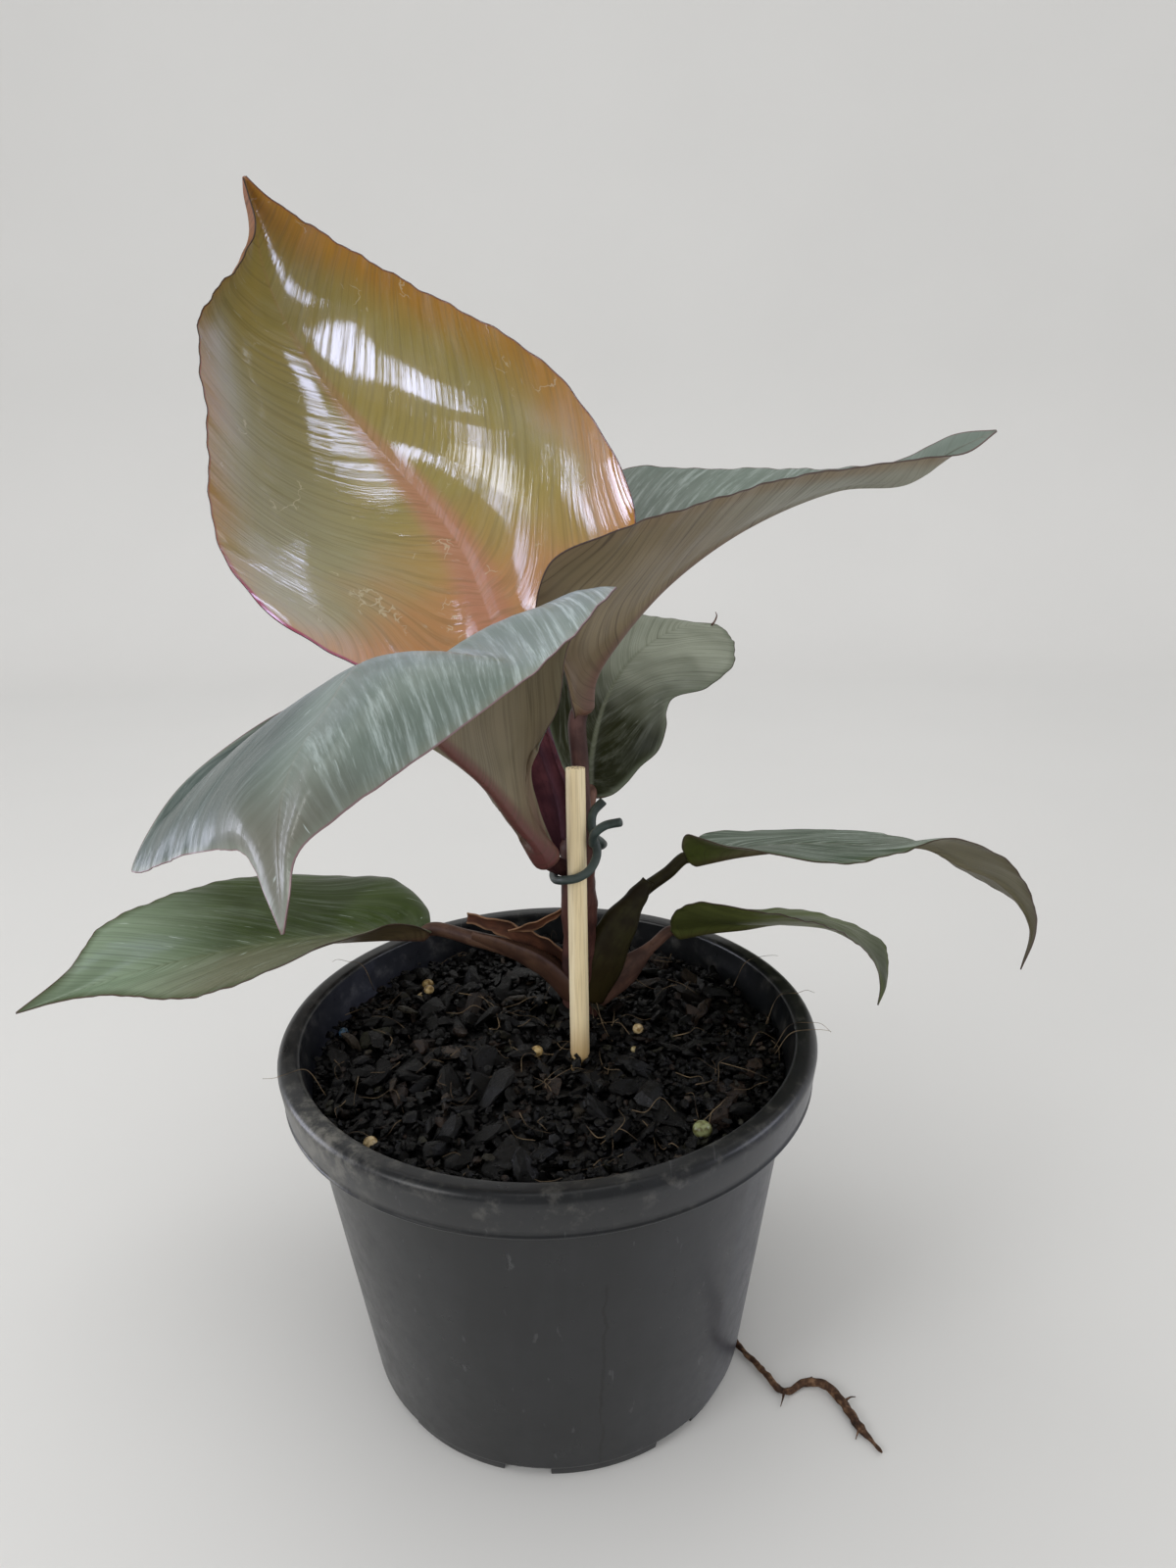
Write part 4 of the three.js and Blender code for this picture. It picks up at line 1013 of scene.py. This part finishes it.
# Each leaf's skin above and below, and the tints of its stalk: ground, dark, foot and its reach, shine
LEAF_SKINS = {
    "upright_leaf": (
        dict(ground="#968A50", light="#9E8E4E", rib="#B27E66", rib_reach=8.5, margin="#B07A28",
             margin_reach=20, margin_share=0.85, margin_left=7, line="#6A5F3A", line_share=0.3,
             sheen_and_speck_colour="#C2C4B2", painted_sheen_share=0.1, speck_share=0.3, scar_share=0.5, edge_line="#94603E",
             edge_width=0.3, flush="#962840", side_tint=("#98967A", 0.75, -3, -26),
             base=("#B58456", 0.2, 0.46), roughness=0.34, coat=1.0, shine=0.04, relief=0.8, relief_mm=0.12),
        dict(ground="#7A6248", light="#8A6E50", rib="#8C4A44", rib_reach=4, margin="#8A5A3A", margin_reach=8,
             line="#4A3826", vein_share=0.5, coat=0.0, shine=0.03),
        ("#5C3438", "#3A1E24", ("#4A2A32", 0.6), 0.01),
    ),
    "right_leaf": (
        dict(ground="#5E6C62", light="#68766C", rib="#7A6258", rib_reach=1.6, margin="#6A776E",
             margin_reach=3, sheen_and_speck_colour="#B8C4C0", painted_sheen_share=0.5, speck_share=0.7, line_share=0.15,
             edge_line="#5E4A46", coat=0.2),
        dict(ground="#796A4E", light="#8A7B60", rib="#6A4A40", rib_reach=3.4, margin="#7E6C52",
             margin_reach=6, line="#443628", vein_share=0.65, edge_line="#4E3C36", edge_width=0.25,
             base=("#66503F", 0.0, 0.35), tip=("#8A8A7C", 0.45, 0.7), roughness=0.42, coat=0.08),
        ("#5E4440", "#44302E", ("#57403E", 0.6)),
    ),
    "front_leaf": (
        dict(ground="#66746C", light="#728078", rib="#8A8478", rib_reach=1.2, margin="#788074",
             margin_reach=2.5, side_tint=("#46544F", 0.95, 1, 14), tip=("#6A6B60", 0.8, 0.92),
             sheen_and_speck_colour="#C2D0D0", painted_sheen_share=0.7, painted_sheen_reach=26, speck_share=0.6, line_share=0.1,
             edge_line="#80666A", roughness=0.4, coat=0.35),
        dict(ground="#746A52", light="#80745C", rib="#6A3A3A", rib_reach=3.4, margin="#777058",
             margin_reach=4, line="#443C2C", vein_share=0.5, edge_line="#5A4440", edge_width=0.25,
             base=("#644640", 0.0, 0.3), roughness=0.42, coat=0.08),
        ("#4E2E2E", "#361F20", ("#3E2627", 0.6)),
    ),
    "back_leaf": (
        # Back leaf: its dark tint near the base is painted shade, and its pale grey ground and pale streaks
        # are partly a painted sheen
        dict(ground="#7C8272", light="#989E8E", rib="#6C725E", rib_reach=1, margin="#6E7664", margin_reach=3,
             sheen_and_speck_colour="#B4BAB0", painted_sheen_share=0.2, speck_share=0.3, line="#3C402A", line_share=0.3,
             vein_share=0.4, base=("#23270A", 0.36, 0.56), edge_line="#3C3426", roughness=0.5, coat=0.0,
             shine=0.2),
        dict(ground="#5C5640", light="#666048", rib="#5A4038", rib_reach=2.4, margin="#5A5040",
             margin_reach=4, line="#34301E"),
        ("#7A5A4E", "#4E3832"),
    ),
    "low_left_leaf": (
        # Low left leaf: its paler grey-green tip is a painted sheen
        dict(ground="#2B390D", light="#3A4A1C", rib="#5C6446", rib_reach=1, margin="#434E2E", margin_reach=3,
             side_tint=("#74745E", 0.8, 3, -6), tip=("#7E9078", 0.5, 0.8), sheen_and_speck_colour="#B4C2B6", painted_sheen_share=0.14,
             speck_share=1.0, line="#222B14", line_share=0.3, edge_line="#4A3428", roughness=0.36, shine=0.2),
        dict(ground="#66583E", light="#6E6044", rib="#6A4A40", rib_reach=2.4, margin="#5E4A38",
             margin_reach=4, line="#3A3020"),
        ("#5A4234", "#3E2A22", ("#4A3226", 0.5)),
    ),
    "mid_right_leaf": (
        dict(ground="#4C5C4A", light="#627062", rib="#6C7260", rib_reach=1, margin="#5A644C", margin_reach=3,
             sheen_and_speck_colour="#CAD6CE", painted_sheen_share=0.75, speck_share=1.0, line_share=0.15, edge_line="#363A22",
             tip=("#4A4C32", 0.45, 0.8), roughness=0.4, coat=0.0, shine=0.03),
        dict(ground="#645F48", light="#706B52", rib="#4A3A28", rib_reach=2.2, margin="#5A543C",
             margin_reach=4, line="#332C1C", base=("#4C5624", 0.02, 0.25)),
        ("#33301A", "#241D10", ("#2E2612", 0.6)),
    ),
    "low_right_leaf": (
        dict(ground="#525E34", light="#5E6A40", rib="#6A6E50", rib_reach=0.9, margin="#505A2E",
             margin_reach=3, sheen_and_speck_colour="#9CA692", painted_sheen_share=0.12, speck_share=0.3, line_share=0.2,
             edge_line="#434630", tip=("#4A5040", 0.6, 0.9), roughness=0.4, coat=0.0, shine=0.15),
        dict(ground="#575E2E", light="#626A38", rib="#4E4A28", rib_reach=2, margin="#545A2C", margin_reach=4,
             line="#383B1E", line_share=0.3, tip=("#4A4A34", 0.5, 0.9)),
        ("#6A4E42", "#4A3630"),
    ),
}

SHEATHS = {
    "upright_leaf": [
        dict(path=[(6.5, 12.5, 141), (4.4, 12.2, 150), (1.6, 12, 160), (-1, 12.4, 171), (-4, 14, 182)],
             stations=[(0, 4.4, 3.4), (0.4, 6.4, 3.2), (0.7, 4.6, 2.4), (1, 2.2, 1.6)], wide=(1, -0.3, 0.2)),
    ],
    "low_left_leaf": [
        dict(path=[(7, 17, 97), (-1, 20.5, 104), (-12, 23.5, 109), (-22, 26.5, 111.5)],
             stations=[(0, 6, 3.4), (0.4, 4.8, 2.8), (0.75, 3.2, 2), (1, 2, 1.2)], wide=(-0.2, 0.75, -1)),
    ],
    "mid_right_leaf": [
        dict(path=[(10, 17, 97), (15, 16, 110), (20, 16.4, 120), (27.5, 18.4, 131)],
             stations=[(0, 5.2, 3.4), (0.3, 6.4, 3.6), (0.6, 5, 3), (0.85, 2.8, 2.2), (1, 1.6, 1.6)],
             wide=(-0.7, 0.2, 0.5)),
    ],
    "low_right_leaf": [
        dict(path=[(12, 19, 94), (20, 22, 100.5), (29, 27, 106.8)],
             stations=[(0, 3.4, 2.4), (0.5, 4.4, 2.8), (1, 1.7, 1.7)], wide=(-0.4, 0, 0.9)),
    ],
}


# Leaf shapes

def grid_normals(grid):
    return unit(np.cross(np.gradient(grid, axis=1), np.gradient(grid, axis=0)))


def ease_fold(left, right):
    """Rounds the fold along the rib, where the two halves would meet in a sharp line."""
    starts = [unit(half[:, 1] - half[:, 0]) for half in (left, right)]
    level = unit(starts[1] - starts[0])
    for half, start, way in ((left, starts[0], -level), (right, starts[1], level)):
        steps = lengths(np.diff(half, axis=1))
        reached = np.concatenate([np.zeros_like(steps[:, :1]), np.cumsum(steps, axis=1)], 1)
        reach = np.minimum(FOLD_REACH, reached[:, -1:] * 0.3 + 0.01)
        half += (way - start)[:, None] * reached * np.exp(-((reached / reach) ** 2))


def blade_sheet(leaf):
    """The blade's upper face as rows of points from margin to margin, and the values of each point."""
    midrib = Path(leaf["midrib"])
    place = np.linspace(0, TIP_STOP, BLADE_ROWS + 1)
    rib_place = place**ROW_SPACING
    centre = midrib.at(rib_place)
    along = midrib.heading(np.clip(rib_place, 0.01, 0.99), 0.01)
    belly = read_stations(leaf["belly"], place)
    part = 0.5 - 0.5 * np.cos(np.linspace(0, math.pi, HALF_COLUMNS + 1))
    arch = 4 * part * (1 - part)
    lean = leaf.get("lean", VEIN_LEAN) * smooth(place, 0, 0.4)
    halves = []
    for half, (side, way) in enumerate((("left", -1), ("right", 1))):
        across = Path(leaf[side]).at(place) - centre
        facing = np.cross(across, along) * way
        opened = np.minimum(1, lengths(facing) / FULL_BELLY_WIDTH)
        width = lengths(across)
        points = (
            centre[:, None]
            + across[:, None] * part[:, None]
            + unit(facing)[:, None] * (belly[:, half:half + 1] * opened * arch)[:, :, None]
            - along[:, None] * (VEIN_SWEEP * width * arch)[:, :, None]
        )
        vein = rib_place[:, None] * midrib.length - lean[:, None] * width * part
        values = point_values(width * part * way, width * (1 - part), vein, place[:, None])
        halves.append((points, values))
    (left, left_values), (right, right_values) = halves
    ease_fold(left, right)
    grid = np.concatenate([left[:, ::-1], right[:, 1:]], 1)
    return grid, np.concatenate([left_values[:, ::-1], right_values[:, 1:]], 1)


def sheet_relief(values, quilt, ripple, seed):
    """Shallow quilting between the side veins, and small waves that grow towards the margin."""
    across, edge, vein, along = (values[..., k] for k in range(4))
    width = np.abs(across) + edge
    opened = np.clip(width / 14, 0, 1) * smooth(along, 0.03, 0.18) * (1 - smooth(along, 0.9, 1))
    share = np.abs(across) / np.maximum(width, 0.1)
    side = np.where(across < 0, 0.0, 2.1)
    wander = np.sin(vein * 0.23 + side + seed) * 1.3
    veins = np.cos((vein + wander) * 2 * math.pi / VEIN_SPACING + side)
    quilting = quilt * (0.5 - 0.5 * veins) * share * (1 - share) * 4
    large = np.sin(vein * 2 * math.pi / WAVE_LENGTH + side * 2 + seed)
    small = np.sin(vein * 2 * math.pi / SMALL_WAVE_LENGTH + seed * 3)
    return opened * (quilting + ripple * (large + 0.6 * small) * share**4)


def crown(grid, values, depth, reach):
    """Lifts the blade inside its margins, which then roll back from it."""
    edge, along = values[..., 1], values[..., 3]
    inward = np.clip(edge / reach, 0, 1)
    lift = depth * (1 - (1 - inward) ** 2) * smooth(along, 0.03, 0.2) * (1 - smooth(along, 0.85, 1))
    return grid + grid_normals(grid) * lift[..., None]


def make_leaf(name, leaf, seed):
    """One leaf: its thin blade, and its stalk, which runs on as the rib under the blade."""
    grid, values = blade_sheet(leaf)
    grid = crown(grid, values, *leaf["curl"])
    normals = grid_normals(grid)
    relief = sheet_relief(values, leaf["quilt"], leaf["ripple"], seed)
    across, edge, along = values[..., 0], values[..., 1], values[..., 3]
    foot, neck = leaf["stalk_radius"]
    radius = neck + (RIB_TIP_RADIUS - neck) * smooth(along, 0, RIB_END)
    groove = 0.2 * radius * np.exp(-((across / (0.9 * radius)) ** 2)) * (1 - smooth(along, 0.6, 0.95))
    thickness = EDGE_THICKNESS + (BLADE_THICKNESS - EDGE_THICKNESS) * smooth(edge, 0, 3)
    rib = 1.5 * radius * np.exp(-((across / (1.4 * radius)) ** 2)) * smooth(along, -0.01, 0.05)
    narrow = np.clip((np.abs(across) + edge) / 5, 0.05, 1)
    upper = grid + normals * (relief - groove * narrow)[..., None]
    lower = grid + normals * (relief - thickness - rib * narrow)[..., None]
    shape = Shape()
    add_sheet(shape, upper, lower, values, 0, 1)

    rows = [round(p * BLADE_ROWS) for p in RIB_JOIN]
    drop = (thickness + radius * RIB_SHARE)[rows, HALF_COLUMNS, None]
    under = grid[rows, HALF_COLUMNS] - normals[rows, HALF_COLUMNS] * drop
    points = [*leaf["stalk"], *under.tolist()]
    share = Path(leaf["stalk"]).length / Path(points).length
    thin = neck * RIB_SHARE
    stations = round_bar((0, foot), (share, neck), (share + 0.4 * (1 - share), thin), (1, thin * 0.3))
    add_rod(shape, points, stations, 2, wide=(0.2, 1, 0.1), steps=90, bumps=0.06)
    for sheath in SHEATHS.get(name, ()):
        add_trough(shape, sheath["path"], sheath["stations"], 2, sheath["wide"])
    if name == "back_leaf":
        add_rod(shape, BACK_HOOK, [(0, 0.3, 1.5), (0.5, 0.28, 0.6), (1, 0.12, 0.12)], 2, sides=10, steps=16)
    above, below, stalk_tints = LEAF_SKINS[name]
    label = name.replace("_", " ")
    finishes = [
        leaf_skin(f"waxed skin above, {label}", **above),
        leaf_skin(f"dull skin below, {label}", **{**UNDERSIDE, **below}),
        stalk_skin(f"stalk skin, {label}", *stalk_tints),
    ]
    claim(shape.make(name, finishes), leaf["slot"], leaf["node"])


# Stem, stake, tie, dry remains and root

STEM_PATH = [(8.4, 20, 64), (8.4, 19, 92), (8.6, 16.5, 115), (8.6, 13.5, 136), (8.6, 13.6, 147.5)]
STEM_SWELLS = [(0, 0.9), (0.33, 1.12), (0.42, 1.0), (0.52, 1.06), (0.62, 0.94), (0.72, 1.03), (0.84, 0.94),
               (0.95, 1), (1, 0.7)]


def make_stem():
    stations = round_bar(*((place, STEM_RADIUS * swell) for place, swell in STEM_SWELLS))
    shape = Shape()
    add_rod(shape, STEM_PATH, stations, 0, sides=32, steps=120, bumps=0.35, bump_mm=3)
    skin = stalk_skin("stem skin", "#5A3A34", "#3A2422", ("#2E211B", 0.5))
    claim(shape.make("short_stem", [skin]), "stem_skin", "stem")


def shred_end(stake, end, upright):
    """Breaks the flat cut end into fibre bundles of uneven height."""
    for face in stake.data.polygons:
        face.select = face.normal.dot(upright) > 0.9
    bpy.ops.object.mode_set(mode="EDIT")
    bpy.ops.mesh.inset(thickness=0.25 * MM)
    bpy.ops.transform.translate(value=upright * 0.12 * MM)
    for _ in range(4):
        bpy.ops.mesh.inset(thickness=0.42 * MM)
    bpy.ops.object.mode_set(mode="OBJECT")
    for vertex in stake.data.vertices:
        height = (vertex.co - end).dot(upright)
        off_axis = (vertex.co - end - upright * height).length
        if height > 0.05 * MM and off_axis < (STAKE_RADIUS - 0.3) * MM:
            vertex.co += upright * noise.noise(vertex.co / MM * 2.3) * 0.35 * MM


def make_stake():
    """A round bamboo stake, worn soft at its rim, with a slightly uneven side."""
    foot, top = Vector(STAKE_FOOT), Vector(STAKE_TOP)
    lean = top - foot
    upright = lean.normalized()
    deselect_all()
    bpy.ops.mesh.primitive_cylinder_add(
        vertices=40, radius=STAKE_RADIUS * MM, depth=lean.length * MM, location=(foot + top) / 2 * MM,
        rotation=lean.to_track_quat("Z", "Y").to_euler(), end_fill_type="NGON",
    )
    stake = bpy.context.object
    stake.name = "bamboo_stake"
    bpy.ops.object.transform_apply(location=True, rotation=True, scale=True)
    bpy.ops.object.mode_set(mode="EDIT")
    bpy.ops.mesh.select_mode(type="FACE")
    bpy.ops.mesh.select_all(action="DESELECT")
    bpy.ops.object.mode_set(mode="OBJECT")
    shred_end(stake, top * MM, upright)
    bpy.ops.object.mode_set(mode="EDIT")
    for share in np.linspace(0.06, 0.94, STAKE_CUTS):
        bpy.ops.mesh.select_all(action="SELECT")
        bpy.ops.mesh.bisect(plane_co=(foot + lean * float(share)) * MM, plane_no=upright)
    bpy.ops.object.mode_set(mode="OBJECT")
    for vertex in stake.data.vertices:
        height = (vertex.co - foot * MM).dot(upright)
        axis = foot * MM + upright * height
        wobble = noise.noise(Vector((0, 0, height / MM * 0.035))) * 0.06
        if height < (lean.length - 0.5) * MM:
            vertex.co = axis + (vertex.co - axis) * (1 + wobble)
    pick(stake)
    bpy.ops.object.shade_smooth_by_angle(angle=math.radians(40))
    stake.data.materials.append(bare_bamboo())
    claim(stake, "bamboo", "stake")


TIE_LOOP = [(12.4, 4.5, 150), (13.6, 2.6, 146), (11.8, 0.4, 142.4), (8.6, -0.2, 140.4), (4.9, 1.2, 139.2),
            (2.6, 6, 137.5), (2.3, 13, 137), (5, 19.4, 137.5), (10, 20, 139.5), (14.8, 16, 142.5),
            (14.8, 9.5, 146), (12.6, 5, 149.5)]
TIE_ENDS = ([(12.6, 3.8, 147.5), (12.9, 2.4, 151), (15.6, 1.2, 153.8), (19.8, 0, 155.2)],
            [(13.6, 5, 148.2), (12.4, 6.4, 151.5), (12.9, 8, 155), (15.6, 9, 157.7)])


def make_tie():
    shape = Shape()
    even = round_bar((0, TIE_RADIUS * 0.8), (0.01, TIE_RADIUS), (0.99, TIE_RADIUS), (1, TIE_RADIUS * 0.8))
    add_rod(shape, TIE_LOOP, even, 0, wide=(0.1, 0.2, 1), sides=14, steps=120)
    for end in TIE_ENDS:
        add_rod(shape, end, even, 0, wide=(0.1, 1, 0.1), sides=14, steps=40)
    claim(shape.make("soft_tie", [soft_tie_plastic()]), "tie_plastic", "tie")


def make_dry_remains():
    skin = dry_skin("dry sheath", "#744832", "#44281C", "#A07C5C")
    sheath = Shape()
    add_trough(sheath, [(7, 21, 101), (-1, 23, 107.5), (-12, 25.5, 113), (-23.7, 28.5, 116)],
               [(0, 3.4, 2.4), (0.3, 4.2, 2.4), (0.7, 2.8, 1.7), (1, 1.8, 1.1)], 0, (0.2, -0.3, 1),
               thickness=0.7, ragged=0.5)
    claim(sheath.make("dry_sheath", [skin]), "dry_sheath", "sheath_dry")
    strip = Shape()
    add_trough(strip, [(6, 17, 124.5), (0, 17.5, 120.5), (-4, 18.5, 117.8), (-11.4, 20, 115.6)],
               [(0, 0.8, 0.5), (0.6, 1.7, 0.7), (1, 0.6, 0.3)], 0, (0, -0.6, 1), thickness=0.5, columns=9,
               steps=40, ragged=0.4)
    claim(strip.make("dry_strip", [skin]), "dry_sheath", "strip_dry")


ROOT_PATH = [(46, -6.8, 4.1), (48.6, -9, 1.7), (51.5, -14.6, 1.3), (56, -21.5, 1.4), (61.2, -29.2, 1.4),
             (66.9, -26.8, 1.6), (72.1, -27.4, 1.6), (76, -33.2, 1.5), (78.4, -39.5, 1.3), (82.7, -47.5, 1)]
SIDE_ROOTS = [((61, -29, 1.6), (59.4, -33.5, 1)), ((76, -33.2, 1.6), (79.6, -32, 2.2)),
              ((78.6, -39.8, 1.5), (77, -43.4, 0.7)), ((68, -26.9, 1.8), (69.6, -24.4, 1))]


def make_root():
    """The brown root that has left a drain gap, with short side roots."""
    stations = round_bar((0, 0.5), (0.12, 0.8), (0.45, 0.85), (0.6, 1.15), (0.85, 1.1), (1, 0.3))
    shape = Shape()
    add_rod(shape, ROOT_PATH, stations, 0, wide=(0, 0.3, 1), sides=16, steps=160, bumps=0.35, bump_mm=1.8)
    for start, end in SIDE_ROOTS:
        middle = [(a + b) / 2 + 0.4 for a, b in zip(start, end)]
        add_rod(shape, [start, middle, end], round_bar((0, 0.42), (1, 0.12)), 0, wide=(0, 0.3, 1), sides=7,
                steps=10)
    claim(shape.make("escaped_root", [root_bark()]), "root_skin", "root_escaped")


# Bark mix

def pot_inner_radius(height):
    low, high = FLOOR_TOP + 1, POT_HEIGHT - SKIRT_DEPTH
    share = (height - low) / (high - low)
    return BODY_BASE_RADIUS + (BODY_TOP_RADIUS - BODY_BASE_RADIUS) * share - WALL


def on_circle(radius, turn):
    return radius * math.cos(turn), radius * math.sin(turn)


def cell(x, y):
    """The height map's cell for a place. Its cells are 1 mm wide."""
    return round(x) + MAP_HALF, round(y) + MAP_HALF


def points_and_faces(blank):
    """Reads a primitive's mesh, whose object is then removed."""
    points = np.array([vertex.co for vertex in blank.data.vertices])
    faces = [list(polygon.vertices) for polygon in blank.data.polygons]
    bpy.data.objects.remove(blank)
    return points, faces


def chip_blank(draw, subdivisions):
    """A broken lump: a ball cut flat on several sides, as points and triangles around the origin."""
    deselect_all()
    bpy.ops.mesh.primitive_ico_sphere_add(subdivisions=subdivisions, radius=1)
    blank = bpy.context.object
    for _ in range(BLANK_CUTS):
        way = Vector((draw.gauss(0, 1), draw.gauss(0, 1), draw.gauss(0, 1))).normalized()
        reach = draw.uniform(0.35, 0.8)
        for vertex in blank.data.vertices:
            over = vertex.co.dot(way) - reach
            if over > 0:
                vertex.co -= way * over
    points, faces = points_and_faces(blank)
    return points / np.abs(points).max(axis=0), np.array(faces)


def pile(heights, draw, count, sizes, blanks, edge):
    """Lays broken lumps one by one on the height map, which each of them raises."""
    points, faces, tones, total = [], [], [], 0
    cells = np.arange(-MAP_HALF, MAP_HALF + 1)
    grid_x, grid_y = np.meshgrid(cells, cells, indexing="ij")
    for _ in range(count):
        long, broad, thick = sizes(draw)
        reach = edge - long * 0.4
        spots = []
        for _ in range(4):
            x, y = on_circle(reach * math.sqrt(draw.random()), draw.uniform(0, 2 * math.pi))
            spots.append((heights[cell(x, y)], x, y))
        _, x, y = min(spots)
        yaw = draw.uniform(0, 2 * math.pi)
        u = (grid_x - x) * math.cos(yaw) + (grid_y - y) * math.sin(yaw)
        v = -(grid_x - x) * math.sin(yaw) + (grid_y - y) * math.cos(yaw)
        within = (u / long) ** 2 + (v / broad) ** 2 < 0.25
        within[cell(x, y)] |= not within.any()
        bed = np.percentile(heights[within], 65)
        if bed > SOIL_TOP + MOST_RISE:
            continue
        centre = bed + thick * 0.22
        heights[within] = np.maximum(heights[within], centre + thick * 0.35)
        blank, triangles = blanks[draw.randrange(len(blanks))]
        tilt = Matrix.Rotation(yaw, 3, "Z") @ Matrix.Rotation(draw.gauss(0, CHIP_TILT), 3, "X")
        tilt = tilt @ Matrix.Rotation(draw.gauss(0, CHIP_TILT), 3, "Y")
        size = np.array([long, broad, thick]) / 2
        points.append((blank * size) @ np.array(tilt).T + np.array([x, y, centre]))
        faces.append(triangles + total)
        total += len(blank)
        tones.append(np.full(len(blank), draw.random()))
    return np.vstack(points), np.vstack(faces).tolist(), np.concatenate(tones)


def chip_sizes(draw):
    long = draw.choice((3, 3, 4, 4, 5, 5, 6, 7, 8, 10, 12)) * draw.uniform(0.85, 1.15)
    return long, long * draw.uniform(0.32, 0.75), max(1.4, long * draw.uniform(0.22, 0.42))


def crumb_sizes(draw):
    long = draw.uniform(1.2, 3.4)
    return long, long * draw.uniform(0.4, 0.9), long * draw.uniform(0.3, 0.6)


# Prills that lie on the mix: x, y, radius and tone
PRILLS = [(-37, 33, 1.6, 0.1), (-38.5, 29.5, 1.3, 0.5), (-35.6, 26, 1.4, 0.2), (-3.2, -5, 1.5, 0.15),
          (-40.5, -41, 1.8, 0.5), (23.8, 4, 1.5, 0.5), (-56, 4.6, 1.4, 0.99), (22.5, -3, 0.9, 0.6),
          (36.7, -39, 2.2, 0.8)]

# Where a fibre hangs over the rim, in degrees from the right
RIM_FIBRES = (-9, -5, 8, 27, 151, 203)


def make_bed(edge, bark):
    """The bed of fines is a disc of rings, sunk a little, closed by a skirt down to the pot's floor."""
    radius = np.linspace(0.002, 1, BED_RINGS + 1) * edge
    turn = np.arange(BED_SPOKES + 1) / BED_SPOKES * 2 * math.pi
    bed = np.zeros((BED_RINGS + 1, BED_SPOKES + 1, 3))
    bed[..., 0] = radius[:, None] * np.cos(turn)
    bed[..., 1] = radius[:, None] * np.sin(turn)
    for spot in bed.reshape(-1, 3):
        x, y = spot[:2]
        lump = noise.noise(Vector((x, y, 0)) / 9) * 1.6 + noise.noise(Vector((x, y, 5)) / 2.5) * 0.8
        spot[2] = BED_TOP + lump
    bed[:, -1] = bed[:, 0]
    floor_z = FLOOR_TOP + 1.3
    below = bed * (pot_inner_radius(floor_z) - 1.2) / edge
    below[..., 2] = floor_z
    shape = Shape()
    add_sheet(shape, bed[:, ::-1], below[:, ::-1], np.zeros(bed.shape[:2] + (4,)), 0, 0)
    piece = shape.make("bark_bed", [bark])
    pick(piece)
    bpy.ops.object.mode_set(mode="EDIT")
    close_seams(0.01 * MM)
    claim(piece, "bark_mix", "soil")


def make_prills(heights, draw):
    deselect_all()
    bpy.ops.mesh.primitive_uv_sphere_add(segments=20, ring_count=12, radius=1)
    points, faces = points_and_faces(bpy.context.object)
    shape = Shape()
    tones = []
    for x, y, size, tone in PRILLS:
        middle = np.array([x, y, heights[cell(x, y)] + size * 0.55])
        squash = np.array([draw.uniform(0.9, 1.1), draw.uniform(0.9, 1.1), draw.uniform(0.85, 1)])
        shape.add(points * size * squash + middle, faces, [0] * len(faces), np.zeros((len(points), 4)))
        tones += [tone] * len(points)
    claim(shape.make("fertiliser_prills", [coated_prill()], tone=tones), "bark_mix")


def make_fibres(heights, draw, edge):
    """Thin bent strands that lie on the mix, and a few over the rim."""
    shape = Shape()
    for _ in range(FIBRE_COUNT):
        x, y = on_circle((edge - 3) * math.sqrt(draw.random()), draw.uniform(0, 2 * math.pi))
        heading = draw.uniform(0, 2 * math.pi)
        step = draw.uniform(2, 5)
        strand = []
        for _ in range(4):
            inside = min(1.0, (edge - 1.5) / max(math.hypot(x, y), 1))
            spot = x * inside, y * inside
            strand.append((*spot, heights[cell(*spot)] + draw.uniform(0.1, 1.6)))
            heading += draw.gauss(0, 0.6)
            x, y = x + step * math.cos(heading), y + step * math.sin(heading)
        thick = draw.uniform(0.07, 0.15)
        taper = round_bar((0, thick), (1, thick * 0.4))
        add_rod(shape, strand, taper, 0, wide=(0, 0.3, 1), sides=5, steps=14)
    over_rim = ((edge - 3, SOIL_TOP + 1), (edge + 1, POT_HEIGHT), (RIM_RADIUS - 2, POT_HEIGHT + 0.8),
                (RIM_RADIUS + 1, POT_HEIGHT + 0.6), (RIM_RADIUS + 3.5, POT_HEIGHT - 0.5))
    for turn in RIM_FIBRES:
        strand = []
        for radius, height in over_rim:
            turn += draw.gauss(0, 0.8)
            strand.append((*on_circle(radius, math.radians(turn)), height + draw.uniform(0, 0.8)))
        add_rod(shape, strand, round_bar((0, 0.12), (1, 0.05)), 0, wide=(0, 0.3, 1), sides=5, steps=24)
    claim(shape.make("bark_fibres", [thin_fibre()]), "bark_mix")


def make_bark_mix():
    """The mix fills the pot: a dark bed of fines, chips piled over it, crumbs, prills and fibres."""
    draw = random.Random(SOIL_SEED)
    edge = pot_inner_radius(SOIL_TOP) - 0.4
    bark = composted_bark()
    make_bed(edge, bark)
    heights = np.full((2 * MAP_HALF + 1, 2 * MAP_HALF + 1), MAP_START)
    chip_blanks = [chip_blank(draw, 2) for _ in range(CHIP_BLANKS)]
    crumb_blanks = [chip_blank(draw, 1) for _ in range(CRUMB_BLANKS)]
    for name, count, sizes, blanks in (("bark_chips", CHIP_COUNT, chip_sizes, chip_blanks),
                                       ("bark_crumbs", CRUMB_COUNT, crumb_sizes, crumb_blanks)):
        points, faces, tones = pile(heights, draw, count, sizes, blanks, edge)
        claim(new_piece(name, points, faces, [bark], {"tone": tones}), "bark_mix")
    make_prills(heights, draw)
    make_fibres(heights, draw, edge)


set_camera()
make_backdrop()
light_studio()
make_pot()
make_bark_mix()
make_stem()
make_stake()
make_tie()
for seed, (leaf_name, leaf_data) in enumerate(LEAVES.items()):
    make_leaf(leaf_name, leaf_data, seed * 1.7)
make_dry_remains()
make_root()
for piece_name, piece_mirrors in MIRRORS.items():
    mirror_lamps(bpy.data.objects[piece_name], piece_mirrors)
